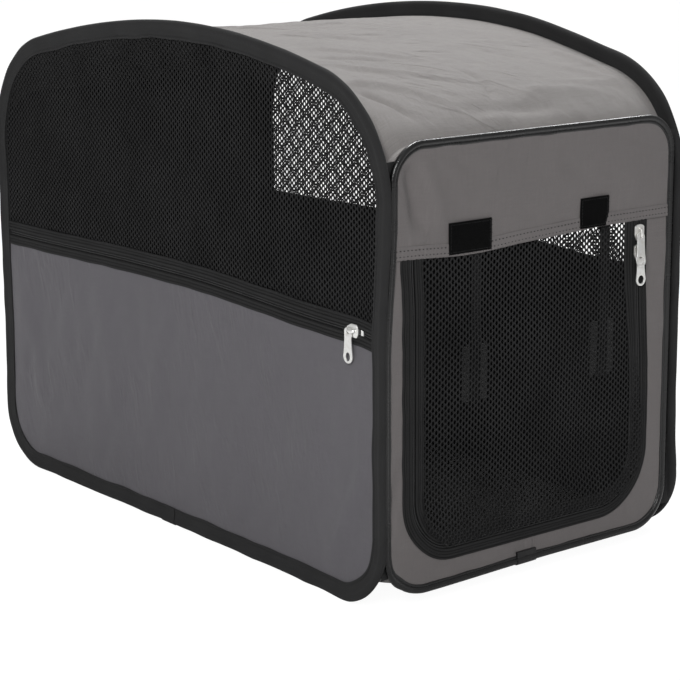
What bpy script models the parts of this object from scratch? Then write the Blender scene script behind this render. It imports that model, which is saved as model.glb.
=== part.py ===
"""Soft-sided folding dog crate, in metres, +Z up, door towards -Y, standing on z = 0 about the origin.

Two arched side panels hold a spring wire each in a folded binding. Two end hoops in round piping stand between
them. The end hoops turn on upright lines by the four corner seams, so the crate folds flat as a parallelogram. The
front end carries a net door on its top hem, closed by a U-shaped zipper with two sliders. Each side has a net
window over a cloth panel, joined by a straight zipper.
"""

import math

import bmesh
import bpy
from mathutils import Matrix, Vector
from mathutils.geometry import tessellate_polygon

# Overall size, over the side bindings
LENGTH = 0.610
WIDTH = 0.330
HEIGHT = 0.460

# Gap kept between neighbouring solids, and cloth thickness
CLEAR = 0.0003
CLOTH = 0.0008

# Outline of an arched side
ARCH_RADIUS = 0.932
SHOULDER_RADIUS = 0.1075
FOOT_RADIUS = 0.063
ARCH_STEPS = 14
SHOULDER_STEPS = 8
FOOT_STEPS = 6

# Side spring wire and its crimped ferrule
SIDE_WIRE_RADIUS = 0.0013
FERRULE_ROOM = 0.0002
SIDE_FERRULE_WALL = 0.00045
FERRULE_LENGTH = 0.024
FERRULE_Y = -0.020
WIRE_END_GAP = 0.002

# Side binding, folded over the wire and stitched to the panel edge
FLANGE = 0.016
BINDING_WALL = 0.0008
SEAM_ROOM = 0.0004
BULGE_DEPTH = 0.0058
PINCH_DEPTH = 0.0085
TUCK = 0.0065

# End hoops and pipings, and the upright hinge lines set in from the side panels' middles
END_INSET = 0.0065
END_BASE = 0.0135
ROOF_RISE = 0.079
END_TOP_RADIUS = 0.034
END_FOOT_RADIUS = 0.045
END_CORNER_STEPS = 6
END_WIRE_RADIUS = 0.0010
END_FERRULE_WALL = 0.0004
PIPING_WALL = 0.0007
PIPING_LIP = 0.0052
PANEL_SETBACK = 0.0020
END_GAP = 0.0011
HINGE_INSET = 0.0095
PATCH_LENGTH = 0.022
PATCH_X = -0.010
PATCH_WALL = 0.0006
PATCH_LIP = 0.0100

# Zippers: half the gap between the two coils, one coil, and half the whole zipper
COIL_GAP = 0.0005
COIL_WIDTH = 0.0016
COIL_THICK = 0.0022
ZIP_HALF = 0.011
SIDE_ZIP_Z = 0.229

# Door opening in the front end, a little left of its middle: the zipper's centre line and the top hem
DOOR_SHIFT = -0.008
DOOR_ZIP_INSET = 0.0295
DOOR_ZIP_LOW = 0.0455
DOOR_ZIP_RADIUS = 0.045
DOOR_CORNER_STEPS = 6
TOP_PANEL_HEIGHT = 0.092
DOOR_HINGE_OUT = 0.004

# Nets: pitch and thread of the stand-in lattice, and the plain border
WINDOW_PITCH = 0.0300
WINDOW_BAR = 0.0060
DOOR_PITCH = 0.0270
DOOR_BAR = 0.0060
NET_BORDER = 0.0080

# Sliders
SLIDER_LENGTH = 0.014
SLIDER_WIDTH = 0.011
PLATE = 0.0018
WEB = 0.0004
WEB_LENGTH = 0.008
POST_SPACING = 0.0076
POST_THICK = 0.0012
CROWN_WIDTH = 0.0022
CROWN_HEIGHT = 0.0023
CROWN_BAR = 0.0011
SLIDER_FROM_STOP = 0.012
UPPER_SLIDER_DROP = 0.0075
LOWER_SLIDER_DROP = 0.0245

# Pull tabs
PULL_THICK = 0.0012
PULL_LENGTH = 0.030
PULL_TOP_WIDTH = 0.0072
PULL_END_WIDTH = 0.0100
EYE_WIDTH = 0.0034
EYE_LENGTH = 0.0046
HOLE_WIDTH = 0.0060
HOLE_LENGTH = 0.0068
HOLE_RISE = 0.0019
PULL_CORNER_STEPS = 4
UPPER_PULL_TILT = math.radians(15)
SIDE_EYE_DROP = 0.0022

# Zipper stops
STOP_INSET = 0.0325
STOP_LENGTH = 0.003
STOP_WIDTH = 0.0050
STOP_THICK = 0.0012

# Hook-and-loop squares on the front, and the roll-up straps behind the door
SQUARE_THICK = 0.0018
SQUARE_HEIGHT = 0.0255
SQUARE_RISE = 0.0015
SQUARE_INSET = 0.0595
LEFT_SQUARE_WIDTH = 0.045
RIGHT_SQUARE_WIDTH = 0.033
STRAP_THICK = 0.0012
STRAP_WIDTH = 0.025
STRAP_DROP = 0.131
STRAP_TOP_RISE = 0.0033
LEFT_STRAP_INSET = 0.0695
RIGHT_STRAP_INSET = 0.0425
PAD_THICK = 0.0011
PAD_WIDTH = 0.029
PAD_HEIGHT = 0.048

# Roof and floor sheets, whose edges run level from the turn to the end pipings
SHEET_TURN = 0.0205
ROOF_COLUMNS = 20
ROOF_STEPS_TO_CROWN = 12
ROOF_BLEND = 0.070
FLOOR_STEPS_TO_FLAT = 5

# Sizes worked out from those above
SIDE_CAVITY = SIDE_WIRE_RADIUS + FERRULE_ROOM + SIDE_FERRULE_WALL + FERRULE_ROOM
SIDE_HALF_THICK = SIDE_CAVITY + BINDING_WALL
SIDE_X = WIDTH / 2 - SIDE_HALF_THICK
WIRE_DEPTH = BINDING_WALL + SIDE_CAVITY
SEAM_HALF = CLOTH / 2 + SEAM_ROOM
LEG_FACE = SEAM_HALF + BINDING_WALL
PANEL_OFFSET = FLANGE - TUCK
SHEET_OFFSET = FLANGE - CLOTH - SEAM_ROOM
SHEET_X = SIDE_X - LEG_FACE - CLEAR
SHEET_LEVEL_Y = LENGTH / 2 - SHEET_TURN
END_Y = LENGTH / 2 - END_INSET
END_X = SIDE_X - SIDE_HALF_THICK - END_GAP
END_TOP = HEIGHT - ROOF_RISE
END_CAVITY = END_WIRE_RADIUS + FERRULE_ROOM + END_FERRULE_WALL + FERRULE_ROOM
PIPING_RADIUS = END_CAVITY + PIPING_WALL
EIGHTH = math.cos(math.pi / 8)
PIPING_INNER = END_CAVITY / EIGHTH
PIPING_OUTER = PIPING_INNER + PIPING_WALL
PATCH_INNER = (PIPING_OUTER + CLEAR) / EIGHTH
PATCH_OUTER = PATCH_INNER + PATCH_WALL
HINGE_X = SIDE_X - HINGE_INSET
DOOR_ZIP_HALF = END_X - DOOR_ZIP_INSET
HEM_Z = END_TOP - TOP_PANEL_HEIGHT
STOP_Y = -(LENGTH / 2 - STOP_INSET)
SIDE_SLIDER_Y = STOP_Y + SLIDER_FROM_STOP
LEFT_ZIP_X = DOOR_SHIFT - DOOR_ZIP_HALF
RIGHT_ZIP_X = DOOR_SHIFT + DOOR_ZIP_HALF
LEFT_SQUARE_X = LEFT_ZIP_X + SQUARE_INSET
RIGHT_SQUARE_X = RIGHT_ZIP_X - SQUARE_INSET
LEFT_STRAP_X = LEFT_ZIP_X + LEFT_STRAP_INSET
RIGHT_STRAP_X = RIGHT_ZIP_X - RIGHT_STRAP_INSET
COIL_OUT = COIL_GAP + COIL_WIDTH
TAPE_IN = COIL_OUT + CLEAR
PLATE_IN = COIL_THICK / 2 + CLEAR
PLATE_OUT = PLATE_IN + PLATE
PULL_AXIS_OUT = PLATE_OUT + CROWN_HEIGHT / 2
HINGE_Y = -END_Y - DOOR_HINGE_OUT
STRAP_Y = -END_Y + CLOTH / 2 + CLEAR
STRAP_Z = HEM_Z + STRAP_TOP_RISE
LEFT, RIGHT = -1, 1
FRONT, BACK = -1, 1


def clear_scene():
    for obj in list(bpy.data.objects):
        bpy.data.objects.remove(obj, do_unlink=True)


def make_material(name, colour, roughness, metallic=0.0):
    """A Principled material of one colour."""
    material = bpy.data.materials.new(name)
    material.use_nodes = True
    shader = material.node_tree.nodes["Principled BSDF"]
    shader.inputs["Base Color"].default_value = (*colour, 1.0)
    shader.inputs["Roughness"].default_value = roughness
    shader.inputs["Metallic"].default_value = metallic
    return material


FINISHES = {
    "binding": ((0.030, 0.031, 0.031), 0.85, 0.0),
    "piping": ((0.008, 0.008, 0.009), 0.22, 0.0),
    "net": ((0.012, 0.012, 0.012), 0.80, 0.0),
    "side_cloth": ((0.110, 0.107, 0.118), 0.90, 0.0),
    "end_cloth": ((0.130, 0.125, 0.122), 0.90, 0.0),
    "roof_cloth": ((0.300, 0.288, 0.276), 0.90, 0.0),
    "tape": ((0.035, 0.035, 0.036), 0.80, 0.0),
    "coil": ((0.020, 0.020, 0.020), 0.45, 0.0),
    "nickel": ((0.620, 0.600, 0.560), 0.28, 1.0),
    "steel": ((0.350, 0.350, 0.360), 0.35, 1.0),
    "hook": ((0.015, 0.015, 0.015), 0.95, 0.0),
}


def add_object(name, bm, finish, origin=None):
    """Turns a bmesh into an object with its own material and its origin on the given point."""
    bmesh.ops.recalc_face_normals(bm, faces=bm.faces)
    mesh = bpy.data.meshes.new(name)
    bm.to_mesh(mesh)
    bm.free()
    obj = bpy.data.objects.new(name, mesh)
    bpy.context.collection.objects.link(obj)
    mesh.materials.append(make_material(name, *FINISHES[finish]))
    if origin is not None:
        mesh.transform(Matrix.Translation(-Vector(origin)))
        obj.location = origin
    return obj


class Station:
    """A point of an outline in its own plane, with the direction that leads inwards."""

    def __init__(self, a, b, inward_a, inward_b):
        self.a = a
        self.b = b
        self.inward_a = inward_a
        self.inward_b = inward_b

    def at(self, depth):
        """The point that lies this far inside the outline."""
        return self.a + self.inward_a * depth, self.b + self.inward_b * depth


def arc(centre, radius, start, end, steps):
    """Stations along an arc, with angles in degrees from the first axis of the plane."""
    found = []
    for i in range(steps + 1):
        angle = math.radians(start + (end - start) * i / steps)
        c, s = math.cos(angle), math.sin(angle)
        found.append(Station(centre[0] + radius * c, centre[1] + radius * s, -c, -s))
    return found


def shoulder_centre():
    """Centre of the back shoulder's arc, which touches the upright edge and the arch."""
    y = LENGTH / 2 - SHOULDER_RADIUS
    reach = ARCH_RADIUS - SHOULDER_RADIUS
    return y, HEIGHT - ARCH_RADIUS + math.sqrt(reach * reach - y * y)


def side_upper():
    """Stations over the back shoulder, the arch and the front shoulder, from +Y to -Y."""
    y, z = shoulder_centre()
    lean = math.degrees(math.asin(y / (ARCH_RADIUS - SHOULDER_RADIUS)))
    back = arc((y, z), SHOULDER_RADIUS, 0, 90 - lean, SHOULDER_STEPS)
    top = arc((0, HEIGHT - ARCH_RADIUS), ARCH_RADIUS, 90 - lean, 90 + lean, ARCH_STEPS)
    front = arc((-y, z), SHOULDER_RADIUS, 90 + lean, 180, SHOULDER_STEPS)
    return back + top[1:] + front[1:]


def side_lower():
    """Stations round the front foot, then the back foot, from -Y to +Y."""
    y = LENGTH / 2 - FOOT_RADIUS
    front = arc((-y, FOOT_RADIUS), FOOT_RADIUS, 180, 270, FOOT_STEPS)
    back = arc((y, FOOT_RADIUS), FOOT_RADIUS, 270, 360, FOOT_STEPS)
    return front, back


def side_outline():
    """The whole side outline as a closed ring of stations."""
    front, back = side_lower()
    return front + back + side_upper()


def side_wire_path():
    """The side outline opened at the ferrule."""
    front, back = side_lower()
    start = Station(FERRULE_Y + WIRE_END_GAP / 2, 0, 0, 1)
    end = Station(FERRULE_Y - WIRE_END_GAP / 2, 0, 0, 1)
    return [start] + back + side_upper() + front + [end]


def end_corners():
    """Stations of an end hoop's outer edge, corner by corner, as (foot left, foot right, top right, top left)."""
    foot_x, foot_z = END_X - END_FOOT_RADIUS, END_BASE + END_FOOT_RADIUS
    top_x, top_z = END_X - END_TOP_RADIUS, END_TOP - END_TOP_RADIUS
    return (
        arc((-foot_x, foot_z), END_FOOT_RADIUS, 180, 270, END_CORNER_STEPS),
        arc((foot_x, foot_z), END_FOOT_RADIUS, 270, 360, END_CORNER_STEPS),
        arc((top_x, top_z), END_TOP_RADIUS, 0, 90, END_CORNER_STEPS),
        arc((-top_x, top_z), END_TOP_RADIUS, 90, 180, END_CORNER_STEPS),
    )


def end_outline():
    foot_left, foot_right, top_right, top_left = end_corners()
    return foot_left + foot_right + top_right + top_left


def end_wire_path():
    foot_left, foot_right, top_right, top_left = end_corners()
    start = Station(PATCH_X + WIRE_END_GAP / 2, END_BASE, 0, 1)
    end = Station(PATCH_X - WIRE_END_GAP / 2, END_BASE, 0, 1)
    return [start] + foot_right + top_right + top_left + foot_left + [end]


def door_path(top):
    """The U of the door zipper's centre line, from the left leg's top to the right leg's; inwards is towards the door."""
    z = DOOR_ZIP_LOW + DOOR_ZIP_RADIUS
    left = arc((LEFT_ZIP_X + DOOR_ZIP_RADIUS, z), DOOR_ZIP_RADIUS, 180, 270, DOOR_CORNER_STEPS)
    right = arc((RIGHT_ZIP_X - DOOR_ZIP_RADIUS, z), DOOR_ZIP_RADIUS, 270, 360, DOOR_CORNER_STEPS)
    return [Station(LEFT_ZIP_X, top, 1, 0)] + left + right + [Station(RIGHT_ZIP_X, top, -1, 0)]


def on_side(side):
    """Maps (y, z) in a side panel's plane, and a distance outwards, to a place in the crate."""
    return lambda y, z, out: Vector((side * (SIDE_X + out), y, z))


def on_end(end):
    """Maps (x, z) in an end panel's plane, and a distance outwards, to a place in the crate."""
    return lambda x, z, out: Vector((x, end * (END_Y + out), z))


def sweep(stations, section, place, closed=True):
    """A solid with the section, as (depth, out) points whose two halves face each other, carried along the stations."""
    bm = bmesh.new()
    rows = []
    for station in stations:
        row = [bm.verts.new(place(*station.at(depth), out)) for depth, out in section]
        rows.append(row)
    pairs = list(zip(rows, rows[1:]))
    if closed:
        pairs.append((rows[-1], rows[0]))
    count = len(section)
    for near, far in pairs:
        for i in range(count):
            j = (i + 1) % count
            bm.faces.new((near[i], near[j], far[j], far[i]))
    if not closed:
        for row in (rows[0], rows[-1]):
            for i in range(count // 2 - 1):
                bm.faces.new((row[i], row[i + 1], row[count - 2 - i], row[count - 1 - i]))
    return bm


def plate(loops, low, high, place):
    """A flat solid between two distances out. The first loop is its edge and the others are holes."""
    bm = bmesh.new()
    flat = [[Vector((a, b, 0)) for a, b in loop] for loop in loops]
    triangles = tessellate_polygon(flat)
    points = [point for loop in loops for point in loop]
    lower = [bm.verts.new(place(a, b, low)) for a, b in points]
    upper = [bm.verts.new(place(a, b, high)) for a, b in points]
    for i, j, k in triangles:
        bm.faces.new((lower[i], lower[j], lower[k]))
        bm.faces.new((upper[i], upper[k], upper[j]))
    first = 0
    for loop in loops:
        count = len(loop)
        for i in range(count):
            j = (i + 1) % count
            a, b = first + i, first + j
            bm.faces.new((lower[a], lower[b], upper[b], upper[a]))
        first += count
    return bm


def box_mesh(low, high):
    """A box between two opposite corners."""
    bm = bmesh.new()
    bmesh.ops.create_cube(bm, size=1.0)
    low, high = Vector(low), Vector(high)
    for vert in bm.verts:
        for i in range(3):
            vert.co[i] = low[i] if vert.co[i] < 0 else high[i]
    return bm


def placed_box(place, a, b, out):
    """A box given by its ranges along a panel's two axes and outwards."""
    first = place(a[0], b[0], out[0])
    second = place(a[1], b[1], out[1])
    low = [min(first[i], second[i]) for i in range(3)]
    high = [max(first[i], second[i]) for i in range(3)]
    return box_mesh(low, high)


def rectangle(a, b):
    return [(a[0], b[0]), (a[1], b[0]), (a[1], b[1]), (a[0], b[1])]


def polygon_section(depth, radius, sides, turn=0.0):
    """A round section of so many sides about the given depth."""
    found = []
    for i in range(sides):
        angle = 2 * math.pi * i / sides + turn
        found.append((depth + radius * math.cos(angle), radius * math.sin(angle)))
    return found


def tube(start, end, outer, inner, sides=10):
    """An open tube from one point to another, along X or Y."""
    bm = bmesh.new()
    start, end = Vector(start), Vector(end)
    along = (end - start).normalized()
    up = Vector((0, 0, 1))
    across = along.cross(up)
    rings = []
    for point, radius in ((start, outer), (end, outer), (end, inner), (start, inner)):
        ring = []
        for i in range(sides):
            angle = 2 * math.pi * i / sides
            offset = across * math.cos(angle) + up * math.sin(angle)
            ring.append(bm.verts.new(point + offset * radius))
        rings.append(ring)
    for near, far in zip(rings, rings[1:] + rings[:1]):
        for i in range(sides):
            j = (i + 1) % sides
            bm.faces.new((near[i], near[j], far[j], far[i]))
    return bm


def fuse(name, pieces, finish, origin):
    """One object from overlapping closed meshes, by Boolean union."""
    base = add_object(name, pieces[0], finish)
    tools = []
    for i, piece in enumerate(pieces[1:]):
        tool = add_object(f"{name}_tool_{i}", piece, finish)
        modifier = base.modifiers.new(f"union_{i}", "BOOLEAN")
        modifier.operation = "UNION"
        modifier.object = tool
        tools.append(tool)
    graph = bpy.context.evaluated_depsgraph_get()
    mesh = bpy.data.meshes.new_from_object(base.evaluated_get(graph))
    base.modifiers.clear()
    base.data = mesh
    for tool in tools:
        bpy.data.objects.remove(tool, do_unlink=True)
    mesh.transform(Matrix.Translation(-Vector(origin)))
    base.location = origin
    return base


def binding_section():
    """The folded binding: open inwards, with room for the wire at its edge."""
    outer = [
        (FLANGE, LEG_FACE),
        (PINCH_DEPTH, LEG_FACE),
        (BULGE_DEPTH, SIDE_HALF_THICK),
        (0, SIDE_HALF_THICK),
        (0, -SIDE_HALF_THICK),
        (BULGE_DEPTH, -SIDE_HALF_THICK),
        (PINCH_DEPTH, -LEG_FACE),
        (FLANGE, -LEG_FACE),
    ]
    inner = [
        (FLANGE, -SEAM_HALF),
        (PINCH_DEPTH, -SEAM_HALF),
        (BULGE_DEPTH, -SIDE_CAVITY),
        (BINDING_WALL, -SIDE_CAVITY),
        (BINDING_WALL, SIDE_CAVITY),
        (BULGE_DEPTH, SIDE_CAVITY),
        (PINCH_DEPTH, SEAM_HALF),
        (FLANGE, SEAM_HALF),
    ]
    return outer + inner


def split_round_section(depth, outer, inner, lip, face, seam):
    """A round sleeve open inwards, with two lips that run to the given depth past its middle."""
    step = math.pi / 4
    outside = [(depth + lip, face)]
    outside += [(depth + outer * math.cos(i * step), outer * math.sin(i * step)) for i in range(1, 8)]
    outside.append((depth + lip, -face))
    inside = [(depth + lip, -seam)]
    inside += [(depth + inner * math.cos(i * step), inner * math.sin(i * step)) for i in range(7, 0, -1)]
    inside.append((depth + lip, seam))
    return outside + inside


def piping_section():
    return split_round_section(PIPING_RADIUS, PIPING_OUTER, PIPING_INNER, PIPING_LIP, LEG_FACE, SEAM_HALF)


def patch_section():
    """The joint patch, folded round the piping and its lips."""
    seam = LEG_FACE + CLEAR
    face = seam + PATCH_WALL
    return split_round_section(PIPING_RADIUS, PATCH_OUTER, PATCH_INNER, PATCH_LIP, face, seam)


def inside_side(y, z, depth):
    """Whether a point lies inside the upper outline with this much to spare."""
    centre_y, centre_z = shoulder_centre()
    if z <= centre_z:
        return abs(y) <= LENGTH / 2 - depth
    arch_low = HEIGHT - ARCH_RADIUS
    lean = centre_y / (ARCH_RADIUS - SHOULDER_RADIUS)
    if abs(y) / math.hypot(y, z - arch_low) < lean:
        return math.hypot(y, z - arch_low) <= ARCH_RADIUS - depth
    return math.hypot(abs(y) - centre_y, z - centre_z) <= SHOULDER_RADIUS - depth


def lattice(a_range, b_range, pitch, bar, keep):
    """Square gaps on a centred grid, those whose corners all pass the keep test."""
    gap = (pitch - bar) / 2
    a_count = int((a_range[1] - a_range[0] - bar) / pitch)
    b_count = int((b_range[1] - b_range[0] - bar) / pitch)
    a_mid, b_mid = sum(a_range) / 2, sum(b_range) / 2
    found = []
    for j in range(b_count):
        for i in range(a_count):
            a = a_mid + (i - (a_count - 1) / 2) * pitch
            b = b_mid + (j - (b_count - 1) / 2) * pitch
            corners = rectangle((a - gap, a + gap), (b - gap, b + gap))
            if all(keep(*corner) for corner in corners):
                found.append(corners)
    return found


def loop_at(stations, depth):
    return [station.at(depth) for station in stations]


def make_side(side, prefix):
    """One arched side: wire, ferrule, binding, window, zipper and lower panel."""
    place = on_side(side)
    ferrule_inner = SIDE_WIRE_RADIUS + FERRULE_ROOM
    wire = sweep(side_wire_path(), polygon_section(WIRE_DEPTH, SIDE_WIRE_RADIUS, 6), place, closed=False)
    ferrule = tube(
        place(FERRULE_Y - FERRULE_LENGTH / 2, WIRE_DEPTH, 0),
        place(FERRULE_Y + FERRULE_LENGTH / 2, WIRE_DEPTH, 0),
        ferrule_inner + SIDE_FERRULE_WALL,
        ferrule_inner,
    )
    edge_y = LENGTH / 2 - PANEL_OFFSET
    window_low = SIDE_ZIP_Z + ZIP_HALF + CLEAR
    panel_high = SIDE_ZIP_Z - ZIP_HALF - CLEAR
    window_edge = [(-edge_y, window_low), (edge_y, window_low)] + loop_at(side_upper(), PANEL_OFFSET)
    window_top = HEIGHT - PANEL_OFFSET - NET_BORDER
    gaps = lattice(
        (-edge_y, edge_y),
        (window_low + NET_BORDER, window_top),
        WINDOW_PITCH,
        WINDOW_BAR,
        lambda y, z: inside_side(y, z, PANEL_OFFSET + NET_BORDER),
    )
    front_foot, back_foot = side_lower()
    panel_edge = loop_at(front_foot + back_foot, PANEL_OFFSET)
    panel_edge += [(edge_y, panel_high), (-edge_y, panel_high)]
    half = CLOTH / 2
    pieces = [
        add_object(f"{prefix}_hoop_wire", wire, "steel"),
        add_object(f"{prefix}_wire_ferrule", ferrule, "steel"),
        add_object(f"{prefix}_binding", sweep(side_outline(), binding_section(), place), "binding"),
        add_object(f"{prefix}_window_net", plate([window_edge] + gaps, -half, half, place), "net"),
        add_object(f"{prefix}_lower_panel", plate([panel_edge], -half, half, place), "side_cloth"),
    ]
    coil_y = LENGTH / 2 - FLANGE - CLEAR
    for name, sign in (("lower", -1), ("upper", 1)):
        tape_z = sorted((SIDE_ZIP_Z + sign * TAPE_IN, SIDE_ZIP_Z + sign * ZIP_HALF))
        coil_z = sorted((SIDE_ZIP_Z + sign * COIL_GAP, SIDE_ZIP_Z + sign * COIL_OUT))
        tape = placed_box(place, (-edge_y, edge_y), tape_z, (-half, half))
        coil = placed_box(place, (-coil_y, coil_y), coil_z, (-COIL_THICK / 2, COIL_THICK / 2))
        pieces.append(add_object(f"{prefix}_{name}_tape", tape, "tape"))
        pieces.append(add_object(f"{prefix}_{name}_coil", coil, "coil"))
    stop = placed_box(
        place,
        (STOP_Y - STOP_LENGTH / 2, STOP_Y + STOP_LENGTH / 2),
        (SIDE_ZIP_Z - STOP_WIDTH / 2, SIDE_ZIP_Z + STOP_WIDTH / 2),
        (PLATE_IN, PLATE_IN + STOP_THICK),
    )
    pieces.append(add_object(f"{prefix}_zip_stop", stop, "nickel"))
    return pieces


def slider_pieces(box, back_width):
    """The boxes of a slider, by a function of its travel, width and outward ranges."""
    half, wide = SLIDER_LENGTH / 2, SLIDER_WIDTH / 2
    overlap = PLATE / 4
    crown_low, crown_high = PLATE_OUT - overlap, PLATE_OUT + CROWN_HEIGHT + CROWN_BAR
    pieces = [
        box((-half, half), (-wide, wide), (PLATE_IN, PLATE_OUT)),
        box((-WEB_LENGTH / 2, WEB_LENGTH / 2), (-WEB / 2, WEB / 2), (-PLATE_IN - overlap, PLATE_IN + overlap)),
        box((-half, half), back_width, (-PLATE_OUT, -PLATE_IN)),
    ]
    for sign in (-1, 1):
        middle = sign * POST_SPACING / 2
        along = (middle - POST_THICK / 2, middle + POST_THICK / 2)
        pieces.append(box(along, (-CROWN_WIDTH / 2, CROWN_WIDTH / 2), (crown_low, crown_high)))
    reach = POST_SPACING / 2
    bar_low = PLATE_OUT + CROWN_HEIGHT
    pieces.append(box((-reach, reach), (-CROWN_WIDTH / 2, CROWN_WIDTH / 2), (bar_low, crown_high)))
    return pieces


def pull_loops():
    """A pull tab's edge, eye and ring hole, as (across, down) points from the middle of its eye bar."""
    bar = PULL_THICK / 2
    top, end = PULL_TOP_WIDTH / 2, PULL_END_WIDTH / 2
    foot = PULL_LENGTH - bar
    edge = [(-top, -bar), (top, -bar), (top, bar + EYE_LENGTH)]
    for i in range(PULL_CORNER_STEPS + 1):
        angle = math.pi * i / PULL_CORNER_STEPS
        edge.append((end * math.cos(angle), foot - end + end * math.sin(angle)))
    edge.append((-top, bar + EYE_LENGTH))
    eye = rectangle((-EYE_WIDTH / 2, EYE_WIDTH / 2), (bar, bar + EYE_LENGTH))
    hole = []
    hole_end = foot - HOLE_RISE
    radius = HOLE_WIDTH / 2
    for i in range(PULL_CORNER_STEPS + 1):
        angle = math.pi * i / PULL_CORNER_STEPS
        hole.append((radius * math.cos(angle), hole_end - radius + radius * math.sin(angle)))
    for i in range(PULL_CORNER_STEPS + 1):
        angle = math.pi + math.pi * i / PULL_CORNER_STEPS
        hole.append((radius * math.cos(angle), hole_end - HOLE_LENGTH + radius + radius * math.sin(angle)))
    return [edge, eye, hole]


def make_side_slider(side, prefix):
    """The slider of a side zipper and the pull that hangs on its rear post."""
    place = on_side(side)

    def box(travel, width, out):
        along = (SIDE_SLIDER_Y + travel[0], SIDE_SLIDER_Y + travel[1])
        across = (SIDE_ZIP_Z + width[0], SIDE_ZIP_Z + width[1])
        return placed_box(place, along, across, out)

    wide = SLIDER_WIDTH / 2
    slider = fuse(
        f"{prefix}_slider",
        slider_pieces(box, (-wide, wide)),
        "nickel",
        place(SIDE_SLIDER_Y, SIDE_ZIP_Z, 0),
    )
    post_y = SIDE_SLIDER_Y + POST_SPACING / 2
    bar_z = SIDE_ZIP_Z + SIDE_EYE_DROP
    loops = [[(post_y + across, bar_z - down) for across, down in loop] for loop in pull_loops()]
    low = PULL_AXIS_OUT - PULL_THICK / 2
    pull = add_object(
        f"{prefix}_pull",
        plate(loops, low, low + PULL_THICK, place),
        "nickel",
        place(post_y, SIDE_ZIP_Z, PULL_AXIS_OUT),
    )
    return slider, pull


def make_end(end, prefix):
    """An end hoop: wire, ferrule, piping and joint patch."""
    place = on_end(end)
    wire = sweep(end_wire_path(), polygon_section(PIPING_RADIUS, END_WIRE_RADIUS, 6), place, closed=False)
    inner = END_WIRE_RADIUS + FERRULE_ROOM
    ferrule = tube(
        place(PATCH_X - FERRULE_LENGTH / 2, END_BASE + PIPING_RADIUS, 0),
        place(PATCH_X + FERRULE_LENGTH / 2, END_BASE + PIPING_RADIUS, 0),
        inner + END_FERRULE_WALL,
        inner,
    )
    patch_path = [
        Station(PATCH_X - PATCH_LENGTH / 2, END_BASE, 0, 1),
        Station(PATCH_X + PATCH_LENGTH / 2, END_BASE, 0, 1),
    ]
    return [
        add_object(f"{prefix}_hoop_wire", wire, "steel"),
        add_object(f"{prefix}_wire_ferrule", ferrule, "steel"),
        add_object(f"{prefix}_piping", sweep(end_outline(), piping_section(), place), "piping"),
        add_object(f"{prefix}_piping_patch", sweep(patch_path, patch_section(), place, closed=False), "piping"),
    ]


def make_back_panel():
    place = on_end(BACK)
    edge = loop_at(end_outline(), PIPING_RADIUS + PANEL_SETBACK)
    return add_object("back_panel", plate([edge], -CLOTH / 2, CLOTH / 2, place), "end_cloth")


def make_front_panel():
    """The front cloth with its door opening, the frame half of the zipper, and the hook-and-loop squares."""
    place = on_end(FRONT)
    half = CLOTH / 2
    edge = loop_at(end_outline(), PIPING_RADIUS + PANEL_SETBACK)
    opening = loop_at(door_path(HEM_Z), -ZIP_HALF - CLEAR)
    zip_top = HEM_Z - CLEAR
    tape = [(-TAPE_IN, -half), (-TAPE_IN, half), (-ZIP_HALF, half), (-ZIP_HALF, -half)]
    thick = COIL_THICK / 2
    coil = [(-COIL_GAP, -thick), (-COIL_GAP, thick), (-COIL_OUT, thick), (-COIL_OUT, -thick)]
    pieces = [
        add_object("front_panel", plate([edge, opening], -half, half, place), "end_cloth"),
        add_object("front_zip_tape", sweep(door_path(zip_top), tape, place, closed=False), "tape"),
        add_object("front_zip_coil", sweep(door_path(zip_top), coil, place, closed=False), "coil"),
    ]
    low = half + CLEAR
    square_z = (HEM_Z + SQUARE_RISE, HEM_Z + SQUARE_RISE + SQUARE_HEIGHT)
    squares = (("left", LEFT_SQUARE_X, LEFT_SQUARE_WIDTH), ("right", RIGHT_SQUARE_X, RIGHT_SQUARE_WIDTH))
    for name, x, width in squares:
        across = (x - width / 2, x + width / 2)
        square = placed_box(place, across, square_z, (low, low + SQUARE_THICK))
        pieces.append(add_object(f"{name}_hook_square", square, "hook"))
    return pieces


def make_strap(name, x):
    """A roll-up strap that hangs behind the door from the hem, with its hook-and-loop pad."""
    origin = (x, STRAP_Y, STRAP_Z)
    low = STRAP_Z - STRAP_DROP
    strap = box_mesh(
        (x - STRAP_WIDTH / 2, STRAP_Y, low),
        (x + STRAP_WIDTH / 2, STRAP_Y + STRAP_THICK, STRAP_Z),
    )
    pad_y = STRAP_Y + STRAP_THICK + CLEAR
    pad = box_mesh(
        (x - PAD_WIDTH / 2, pad_y, low),
        (x + PAD_WIDTH / 2, pad_y + PAD_THICK, low + PAD_HEIGHT),
    )
    return [
        add_object(f"{name}_strap", strap, "tape", origin),
        add_object(f"{name}_strap_pad", pad, "hook", origin),
    ]


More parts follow.
